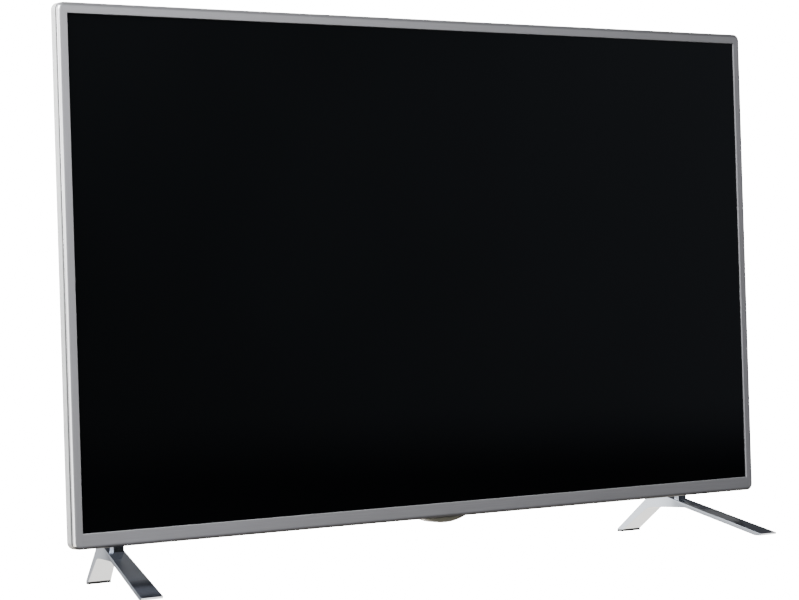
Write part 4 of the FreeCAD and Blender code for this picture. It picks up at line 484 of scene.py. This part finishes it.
def polished_silver():
    """The feet: bright silver with faint polishing lines, and painted shade darkening the toe's top face.
    """
    colour = tuple(settings("foot").metal_colour)
    finish = Finish("polished silver")
    lines = finish.noise(1.0, 3.0, finish.stretched(900.0, 18.0, 18.0))
    cloud = finish.noise(14.0, 3.0)
    silver = finish.ramp(cloud, (0.3, shade(colour, 0.95)), (0.7, shade(colour, 1.04)))
    # Painted shade: a band along the toe's top face is darkened and cooled.
    y, z = finish.axes()[1:]
    over_slope = finish.maths("MULTIPLY_ADD", y, -TOE_RISE, z)
    near = finish.maths("MULTIPLY_ADD", over_slope, 400.0, 0.5 - 400.0 * TOE_LEVEL)
    tint = (0.49, 0.525, 0.6)
    toe_top_shade = finish.ramp(near, (0.38, 1.0), (0.45, tint), (0.55, tint), (0.62, 1.0))
    finish.join(finish.tinted(silver, toe_top_shade), "Base Color")
    finish.join(finish.ramp(lines, (0.3, 0.1), (0.7, 0.15)), "Roughness")
    finish.bump(lines, 0.06, 0.00002)
    return finish.set(Metallic=1.0).material


def smoked_pod():
    """The pod under the bezel: smoked, slightly see-through moulding."""
    colour = tuple(settings("pod").smoke_colour)
    finish = Finish("smoked pod")
    outward = finish.maths("DIVIDE", finish.maths("ABSOLUTE", finish.axes()[0]), POD_HIGH.x)
    edge = finish.ramp(outward, (0.35, shade(colour, 0.9)), (0.95, shade(colour, 1.35)))
    finish.join(edge, "Base Color")
    finish.join(finish.ramp(finish.noise(300.0, 2.0), (0.3, 0.14), (0.7, 0.2)), "Roughness")
    return finish.set(Transmission_Weight=0.25, IOR=1.49, Coat_Weight=0.3, Coat_Roughness=0.1).material


# Helpers for making pieces


def deselect():
    """Leave edit mode and select nothing."""
    if bpy.context.object and bpy.context.object.mode != "OBJECT":
        bpy.ops.object.mode_set(mode="OBJECT")
    bpy.ops.object.select_all(action="DESELECT")


def pick(piece):
    """Select one piece alone and make it active."""
    deselect()
    piece.select_set(True)
    bpy.context.view_layer.objects.active = piece
    return piece


def settle(piece):
    """Move the piece's place into its mesh, so that its object sits at the origin, unturned."""
    pick(piece)
    bpy.ops.object.transform_apply(location=True, rotation=True, scale=True)
    return piece


def block(name, low, high):
    """A cube between two corners, ready to be shaped."""
    low, high = Vector(low), Vector(high)
    deselect()
    bpy.ops.mesh.primitive_cube_add(size=1.0, location=(low + high) / 2)
    piece = bpy.context.object
    piece.name = piece.data.name = name
    piece.scale = high - low
    return settle(piece)


def edit_edges(piece, test):
    """Go into edit mode with only the edges selected whose two ends pass the test."""
    pick(piece)
    bpy.ops.object.mode_set(mode="EDIT")
    bpy.ops.mesh.select_mode(type="EDGE")
    bpy.ops.mesh.select_all(action="DESELECT")
    bpy.ops.object.mode_set(mode="OBJECT")
    places = [vertex.co for vertex in piece.data.vertices]
    found = 0
    for edge in piece.data.edges:
        first, last = (places[index] for index in edge.vertices)
        edge.select = bool(test(first, last))
        found += edge.select
    if not found:
        raise RuntimeError("no edges were found to shape on " + piece.name)
    bpy.ops.object.mode_set(mode="EDIT")


def bevel_edges(piece, test, offset, segments):
    """Round the edges whose two ends pass the test."""
    edit_edges(piece, test)
    bpy.ops.mesh.bevel(offset=offset, segments=segments, affect="EDGES", clamp_overlap=True)
    bpy.ops.object.mode_set(mode="OBJECT")


def carve(piece, cutter):
    """Cut one piece's shape out of another and remove the cutter."""
    pick(piece)
    cutting = piece.modifiers.new("cut", "BOOLEAN")
    cutting.operation = "DIFFERENCE"
    cutting.solver = "EXACT"
    cutting.object = cutter
    bpy.ops.object.modifier_apply(modifier=cutting.name)
    bpy.data.objects.remove(cutter, do_unlink=True)


def smooth(piece, degrees=30.0):
    """Smooth the curved faces, keep sharp edges, and let large flat faces lead the shading."""
    pick(piece)
    bpy.ops.object.shade_smooth_by_angle(angle=math.radians(degrees), keep_sharp_edges=False)
    weigh = piece.modifiers.new("flat faces lead", "WEIGHTED_NORMAL")
    weigh.keep_sharp = True
    bpy.ops.object.modifier_apply(modifier=weigh.name)


def wear(piece, material):
    """Give a piece one material."""
    piece.data.materials.clear()
    piece.data.materials.append(material)


def dress(material, *nodes):
    """Give fixed nodes of the frame their finish."""
    for node in nodes:
        wear(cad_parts[node], material)


def copy_of(node, name):
    """A merged copy of a node's mesh, with its small triangles dissolved into faces."""
    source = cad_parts[node]
    piece = bpy.data.objects.new(name, source.data.copy())
    piece.matrix_world = source.matrix_world.copy()
    bpy.context.scene.collection.objects.link(piece)
    settle(piece)
    bpy.ops.object.mode_set(mode="EDIT")
    bpy.ops.mesh.select_all(action="SELECT")
    bpy.ops.mesh.remove_doubles(threshold=MERGE_GAP)
    bpy.ops.mesh.dissolve_limited(angle_limit=math.radians(1.0))
    bpy.ops.object.mode_set(mode="OBJECT")
    return piece


def soften(piece, width, segments=3, degrees=28.0):
    """Round every edge sharper than an angle with a bevel modifier, and apply it."""
    pick(piece)
    rounding = piece.modifiers.new("soft edges", "BEVEL")
    rounding.width = width
    rounding.segments = segments
    rounding.limit_method = "ANGLE"
    rounding.angle_limit = math.radians(degrees)
    bpy.ops.object.modifier_apply(modifier=rounding.name)
    smooth(piece, degrees)


# The pieces


class BezelOperator(bpy.types.Operator):
    """Make the silver bezel: rounded cabinet outline, hollow behind, open for the screen"""

    bl_idname = "television.bezel"
    bl_label = "Bezel"

    def execute(self, context):
        cabinet = settings("cabinet")
        low, high = BEZEL_LOW, BEZEL_HIGH
        piece = block("bezel", low, high)
        bevel_edges(piece, along_depth, cabinet.corner_round, ROUND_STEPS)

        wall = Vector((cabinet.wall, 0.0, cabinet.wall))
        plate = Vector((0.0, cabinet.plate, 0.0))
        past = Vector((0.0, CUT_PAST, 0.0))
        hollow = block("bezel_hollow", low + plate + wall, high - wall + past)
        bevel_edges(hollow, along_depth, cabinet.corner_round - cabinet.wall, ROUND_STEPS - 2)
        carve(piece, hollow)

        left, right, bottom, top = OPENING
        opening_low, opening_high = Vector((left, low.y, bottom)), Vector((right, high.y, top))
        carve(piece, block("bezel_window", opening_low - past, opening_high + past))

        def on_face(*ends):
            return all(abs(end.y - FACE_Y) < TOUCH for end in ends)

        def on_rim(point):
            beside = abs(point.x) > right + RIM_MARGIN
            return beside or point.z > top + RIM_MARGIN or point.z < bottom - RIM_MARGIN

        def outer_edge(first, last):
            return on_face(first, last) and on_rim(first) and on_rim(last)

        def lip_edge(first, last):
            return on_face(first, last) and not on_rim(first) and not on_rim(last)

        bevel_edges(piece, outer_edge, cabinet.front_round, ROUND_STEPS)
        bevel_edges(piece, lip_edge, cabinet.lip_round, 3)
        smooth(piece)
        wear(piece, hairline_silver())
        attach(piece, "cabinet")
        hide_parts("front_bezel")
        return {"FINISHED"}


def along_depth(first, last):
    """True for an edge that runs from front to back."""
    return abs(first.x - last.x) < TOUCH / 10 and abs(first.z - last.z) < TOUCH / 10


class ScreenOperator(bpy.types.Operator):
    """Finish the screen and the panel's frame, sheets and backlight behind it"""

    bl_idname = "television.screen"
    bl_label = "Screen and backlight"

    def execute(self, context):
        dress(screen_black(), "display_glass")
        dress(moulded("dark panel frame", (0.02, 0.02, 0.022), 0.6), "panel_frame")
        dress(clear("frosted films", (0.9, 0.91, 0.93), 0.5, 0.5), "optical_sheets")
        milky = clear("milky plastic", (0.93, 0.93, 0.91), 0.6, 0.2)
        dress(milky, "diffuser_plate", "sheet_supports")
        white = moulded("white reflector", (0.93, 0.93, 0.93), 0.7, grain=700.0, spread=0.02)
        dress(white, "reflector_sheet")
        dress(brushed("strip metal", (0.86, 0.87, 0.87), 0.35), "led_strips")
        dress(clear("clear lens", (0.95, 0.97, 1.0), 0.08, 0.9), "led_lenses")
        dress(brushed("galvanised pan", (0.6, 0.61, 0.62), 0.42, (8.0, 8.0, 60.0), 0.14), "backlight_pan")
        green = circuit("green board", (0.02, 0.12, 0.04), (0.75, 0.72, 0.62))
        dress(green, "source_boards", "timing_board")
        dress(moulded("amber ribbon", (0.5, 0.25, 0.05), 0.35, grain=600.0), "panel_flex")
        return {"FINISHED"}


class CoverOperator(bpy.types.Operator):
    """Finish the rear cover with its mounting posts and screws"""

    bl_idname = "television.cover"
    bl_label = "Rear cover"

    def execute(self, context):
        shell = copy_of("rear_cover", "rear_shell")
        soften(shell, settings("cabinet").shell_edge, 2)
        wear(shell, cover_silver())
        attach(shell, "cabinet")
        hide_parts("rear_cover")
        posts = brushed("turned steel posts", (0.55, 0.56, 0.57), 0.3)
        dress(posts, "wall_mount_posts", "board_standoffs")
        screws = moulded("black screws", (0.03, 0.03, 0.03), 0.4, grain=2500.0, Metallic=0.6)
        dress(screws, "cover_screws")
        return {"FINISHED"}


class PodOperator(bpy.types.Operator):
    """Make the smoked pod that hangs under the middle of the bezel"""

    bl_idname = "television.pod"
    bl_label = "Sensor pod"

    def execute(self, context):
        half, drop = POD_HIGH.x, POD_HIGH.z - POD_LOW.z
        radius = (half * half + drop * drop) / (2.0 * drop)
        depth = POD_HIGH.y - POD_LOW.y
        middle = Vector((0.0, (POD_LOW.y + POD_HIGH.y) / 2, POD_LOW.z + radius))
        deselect()
        bpy.ops.mesh.primitive_cylinder_add(
            vertices=POD_FACETS, radius=radius, depth=depth, location=middle
        )
        piece = bpy.context.object
        piece.name = piece.data.name = "pod"
        bpy.ops.transform.rotate(value=math.pi / 2, orient_axis="X", center_override=middle)
        settle(piece)
        bevel_edges(piece, round_the_rim, settings("pod").soft_edge, 5)
        bpy.ops.object.mode_set(mode="EDIT")
        bpy.ops.mesh.select_all(action="SELECT")
        bpy.ops.mesh.bisect(
            plane_co=(0.0, 0.0, POD_HIGH.z), plane_no=(0.0, 0.0, 1.0), use_fill=True, clear_outer=True
        )
        bpy.ops.object.mode_set(mode="OBJECT")
        smooth(piece, 40.0)
        wear(piece, smoked_pod())
        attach(piece, "cabinet")
        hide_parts("sensor_pod")
        return {"FINISHED"}


def round_the_rim(first, last):
    """True for an edge that runs round one of the drum's two rims."""
    return abs(first.y - last.y) < TOUCH / 10


class FeetOperator(bpy.types.Operator):
    """Make the two bent feet with softened edges, and finish their pads and fixings"""

    bl_idname = "television.feet"
    bl_label = "Feet"

    def execute(self, context):
        metal = polished_silver()
        for side in ("left", "right"):
            piece = copy_of(side + "_foot", side + "_blade")
            slope_toe_end(piece, side + "_foot")
            soften(piece, settings("foot").edge_round)
            wear(piece, metal)
            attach(piece, "cabinet")
            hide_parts(side + "_foot")
        dress(rubbery("foot rubber", (0.02, 0.02, 0.02)), "foot_pads")
        dress(brushed("galvanised bracket", (0.58, 0.59, 0.6), 0.4, (9.0, 60.0, 9.0)), "foot_brackets")
        steel = brushed("screw steel", (0.5, 0.5, 0.5), 0.35, (900.0, 60.0, 900.0))
        dress(steel, "foot_screws", "board_screws")
        return {"FINISHED"}


def slope_toe_end(piece, node):
    """Move the lower edge of the toe's end back, so that the end stands square to the sloping blade."""
    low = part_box(node)[0]

    def lowest_in_front(*ends):
        return all(end.y < low.y + TOUCH and end.z < low.z + 10 * TOUCH for end in ends)

    edit_edges(piece, lowest_in_front)
    bpy.ops.transform.translate(value=(0.0, settings("foot").toe_cut, 0.0))
    bpy.ops.object.mode_set(mode="OBJECT")


class SocketsOperator(bpy.types.Operator):
    """Finish the sockets in the bay, their panel, and the mains inlet"""

    bl_idname = "television.sockets"
    bl_label = "Sockets"

    def execute(self, context):
        dress(moulded("matt black panel", (0.025, 0.025, 0.027), 0.62, grain=1100.0), "terminal_panel")
        plated = brushed("plated shell", (0.72, 0.71, 0.68), 0.28, (300.0, 300.0, 30.0))
        dress(plated, "hdmi_sockets", "usb_socket", "aerial_tuner")
        black = moulded("black socket plastic", (0.02, 0.02, 0.021), 0.5, grain=2000.0)
        dress(black, "lan_socket", "optical_socket", "optical_shutter", "av_jacks", "mains_inlet")
        dress(brushed("plated pins", (0.8, 0.72, 0.45), 0.2, (60.0, 20.0, 60.0)), "mains_pins")
        return {"FINISHED"}


class BoardsOperator(bpy.types.Operator):
    """Finish the boards and the parts that stand on them"""

    bl_idname = "television.boards"
    bl_label = "Boards"

    def execute(self, context):
        green = circuit("green main board", (0.02, 0.13, 0.045), (0.76, 0.74, 0.66))
        dress(green, "main_board", "wifi_module", "key_board")
        dress(circuit("tan power board", (0.33, 0.2, 0.08), (0.72, 0.7, 0.66)), "power_board")
        dress(brushed("black fins", (0.045, 0.045, 0.05), 0.45, (40.0, 40.0, 400.0)), "main_heat_sink")
        folded = brushed("plain folded plate", (0.72, 0.73, 0.74), 0.35, (40.0, 400.0, 40.0))
        dress(folded, "power_heat_sink")
        ferrite = moulded("dark ferrite", (0.05, 0.05, 0.052), 0.75, grain=500.0, depth=0.0001)
        dress(ferrite, "transformers")
        sleeve = moulded("capacitor sleeve", (0.02, 0.022, 0.04), 0.25, grain=900.0, Coat_Weight=0.4)
        dress(sleeve, "capacitors")
        return {"FINISHED"}


class SpeakersOperator(bpy.types.Operator):
    """Finish the two down-firing speakers"""

    bl_idname = "television.speakers"
    bl_label = "Speakers"

    def execute(self, context):
        box_black = moulded("speaker box black", (0.022, 0.022, 0.022), 0.6, grain=900.0)
        basket = moulded("painted basket", (0.04, 0.04, 0.042), 0.35, grain=1500.0, Metallic=0.5)
        magnet = brushed("plated magnet", (0.42, 0.42, 0.44), 0.3, (20.0, 20.0, 300.0))
        cone = rubbery("pressed cone", (0.03, 0.03, 0.031), 0.8)
        for side in ("left_speaker_", "right_speaker_"):
            dress(box_black, side + "box")
            dress(basket, side + "frame")
            dress(magnet, side + "magnet")
            dress(cone, side + "cone")
        return {"FINISHED"}


class ControlsOperator(bpy.types.Operator):
    """Finish the control stick, its gimbal and the light guide"""

    bl_idname = "television.controls"
    bl_label = "Control stick"

    def execute(self, context):
        slide = moulded("gimbal plastic", (0.03, 0.03, 0.03), 0.4, grain=2200.0)
        dress(slide, "joystick_base", "joystick_ring", "joystick_rocker")
        dress(brushed("stem steel", (0.6, 0.6, 0.6), 0.25, (400.0, 400.0, 30.0)), "joystick_stem")
        dress(rubbery("stick cap", (0.02, 0.02, 0.021), 0.6), "joystick_cap")
        dress(clear("clear guide", (0.9, 0.75, 0.72), 0.1, 0.8), "light_guide")
        return {"FINISHED"}


class LeadsOperator(bpy.types.Operator):
    """Finish the leads and the flat cable inside the cabinet"""

    bl_idname = "television.leads"
    bl_label = "Leads"

    def execute(self, context):
        dress(rubbery("black lead", (0.025, 0.025, 0.025), 0.5), "speaker_leads", "supply_lead")
        dress(rubbery("red lead", (0.4, 0.025, 0.02), 0.45), "backlight_leads")
        dress(moulded("white ribbon", (0.8, 0.8, 0.8), 0.4, grain=500.0, spread=0.04), "video_cable")
        return {"FINISHED"}


# The stage


class StageOperator(bpy.types.Operator):
    """Set up the camera, the pale floor, the soft lights and the room round them"""

    bl_idname = "television.stage"
    bl_label = "Studio stage"

    def execute(self, context):
        self.add_camera(context)
        self.add_floor()
        for light in LIGHTS:
            soft_light(*light)
        self.add_room(context)
        return {"FINISHED"}

    def add_camera(self, context):
        """A camera at the photo's angle, rolled as the photo is."""
        turn, lift, roll = (math.radians(angle) for angle in CAMERA_TURN)
        back = Vector((math.sin(turn) * math.cos(lift), -math.cos(turn) * math.cos(lift), math.sin(lift)))
        right = (-back).cross(Vector((0.0, 0.0, 1.0))).normalized()
        above = right.cross(-back)
        across = right * math.cos(roll) + above * math.sin(roll)
        upright = above * math.cos(roll) - right * math.sin(roll)
        deselect()
        bpy.ops.object.camera_add(location=CAMERA_PLACE)
        camera = bpy.context.object
        camera.name = "camera"
        facing = Matrix((across, upright, back)).transposed().to_4x4()
        camera.matrix_world = Matrix.Translation(CAMERA_PLACE) @ facing
        camera.data.lens = settings("stage").lens
        camera.data.sensor_width = SENSOR_WIDTH
        camera.data.clip_start = 0.05
        camera.data.clip_end = 200.0
        context.scene.camera = camera

    def add_floor(self):
        """A pale lit floor that the set stands on and doesn't mirror."""
        stage = settings("stage")
        deselect()
        bpy.ops.mesh.primitive_plane_add(size=stage.floor_size, location=(0.0, 0.0, 0.0))
        floor = bpy.context.object
        floor.name = "floor"
        finish = Finish("pale floor")
        pale = tuple(stage.floor_colour)
        finish.join(finish.ramp(finish.noise(3.0), (0.3, shade(pale, 0.99)), (0.7, pale)), "Base Color")
        finish.set(Roughness=0.9, Specular_IOR_Level=0.1)
        finish.set(Emission_Color=pale, Emission_Strength=stage.floor_glow)
        wear(floor, finish.material)
        floor.visible_diffuse = False
        floor.visible_glossy = False
        floor.visible_transmission = False

    def add_room(self, context):
        """A white backdrop to look at, a dim fill, and a dark room with white left walls for gloss."""
        world = bpy.data.worlds.new("studio room")
        world.use_nodes = True
        context.scene.world = world
        tree = world.node_tree
        nodes, links = tree.nodes, tree.links
        direction = nodes.new("ShaderNodeTexCoord").outputs["Generated"]
        path = nodes.new("ShaderNodeLightPath")

        def band(axis, *stops):
            """Colours along an axis through the room, from -1 at its one end to 1 at its other."""
            along = nodes.new("ShaderNodeVectorMath")
            along.operation = "DOT_PRODUCT"
            along.inputs[1].default_value = axis
            links.new(direction, along.inputs[0])
            spread = nodes.new("ShaderNodeMapRange")
            spread.inputs["From Min"].default_value = -1.0
            links.new(along.outputs["Value"], spread.inputs["Value"])
            ramp = nodes.new("ShaderNodeValToRGB")
            set_stops(ramp, [((place + 1.0) / 2.0, colour) for place, colour in stops])
            links.new(spread.outputs["Result"], ramp.inputs["Fac"])
            return ramp.outputs["Color"]

        def light_from(colour, strength):
            """Light of a linked colour from all round."""
            part = nodes.new("ShaderNodeBackground")
            part.inputs["Strength"].default_value = strength
            links.new(colour, part.inputs["Color"])
            return part.outputs["Background"]

        def choose(kind, otherwise, chosen):
            """One background for a kind of ray, another for the rest."""
            mix = nodes.new("ShaderNodeMixShader")
            links.new(path.outputs[kind], mix.inputs["Fac"])
            links.new(otherwise, mix.inputs[1])
            links.new(chosen, mix.inputs[2])
            return mix.outputs["Shader"]

        mirrored = mix_colours(tree, 1.0, band(*ROOM_HEIGHTS), band(*ROOM_BEFORE_SCREEN), "MULTIPLY")
        for wall in (ROOM_LEFT_WALL, ROOM_LEFT_STRIP, ROOM_FRONT_LEFT):
            mirrored = mix_colours(tree, 1.0, mirrored, band(*wall), "LIGHTEN")
        fill = light_from(band(*ROOM_FILL), FILL_STRENGTH)
        gloss = light_from(mirrored, GLOSS_STRENGTH)
        backdrop = nodes.new("ShaderNodeBackground")
        backdrop.inputs["Color"].default_value = (1.0, 1.0, 1.0, 1.0)
        backdrop.inputs["Strength"].default_value = settings("stage").backdrop_glow
        unseen = choose("Is Glossy Ray", fill, gloss)
        shown = choose("Is Camera Ray", unseen, backdrop.outputs["Background"])
        links.new(shown, nodes["World Output"].inputs["Surface"])


def soft_light(name, place, aim, wide, high, power, in_gloss):
    """A large area light that faces the set, mirrored in gloss or not."""
    deselect()
    bpy.ops.object.light_add(type="AREA", location=place)
    light = bpy.context.object
    light.name = name
    light.data.shape = "RECTANGLE"
    light.data.size = wide
    light.data.size_y = high
    light.data.energy = power
    light.rotation_euler = (Vector(aim) - Vector(place)).to_track_quat("-Z", "Y").to_euler()
    light.visible_glossy = in_gloss


# Panel and registration


OPERATORS = (
    StageOperator, BezelOperator, ScreenOperator, CoverOperator, PodOperator, FeetOperator, SocketsOperator,
    BoardsOperator, SpeakersOperator, ControlsOperator, LeadsOperator,
)


class TelevisionPanel(bpy.types.Panel):
    """Buttons and settings for the television"""

    bl_idname = "VIEW3D_PT_television"
    bl_label = "Television"
    bl_space_type = "VIEW_3D"
    bl_region_type = "UI"
    bl_category = "Television"

    def draw(self, context):
        for name, group in GROUPS.items():
            column = self.layout.column(align=True)
            column.label(text=name.capitalize())
            for field in group.__annotations__:
                column.prop(settings(name), field)
        for operator in OPERATORS:
            self.layout.operator(operator.bl_idname)


GROUPS = {"cabinet": CabinetSettings, "pod": PodSettings, "foot": FootSettings, "stage": StageSettings}


def register():
    """Make the settings, operators and panel known to Blender."""
    for group in GROUPS.values():
        bpy.utils.register_class(group)
    for operator in OPERATORS:
        bpy.utils.register_class(operator)
    bpy.utils.register_class(TelevisionPanel)
    for name, group in GROUPS.items():
        setattr(bpy.types.Scene, "television_" + name, PointerProperty(type=group))


def unregister():
    """Take them out again."""
    for name in GROUPS:
        delattr(bpy.types.Scene, "television_" + name)
    bpy.utils.unregister_class(TelevisionPanel)
    for operator in reversed(OPERATORS):
        bpy.utils.unregister_class(operator)
    for group in reversed(list(GROUPS.values())):
        bpy.utils.unregister_class(group)


def main():
    """Make the whole television and its stage."""
    register()
    for operator in OPERATORS:
        group, name = operator.bl_idname.split(".")
        getattr(getattr(bpy.ops, group), name)()


if __name__ == "__main__":
    main()
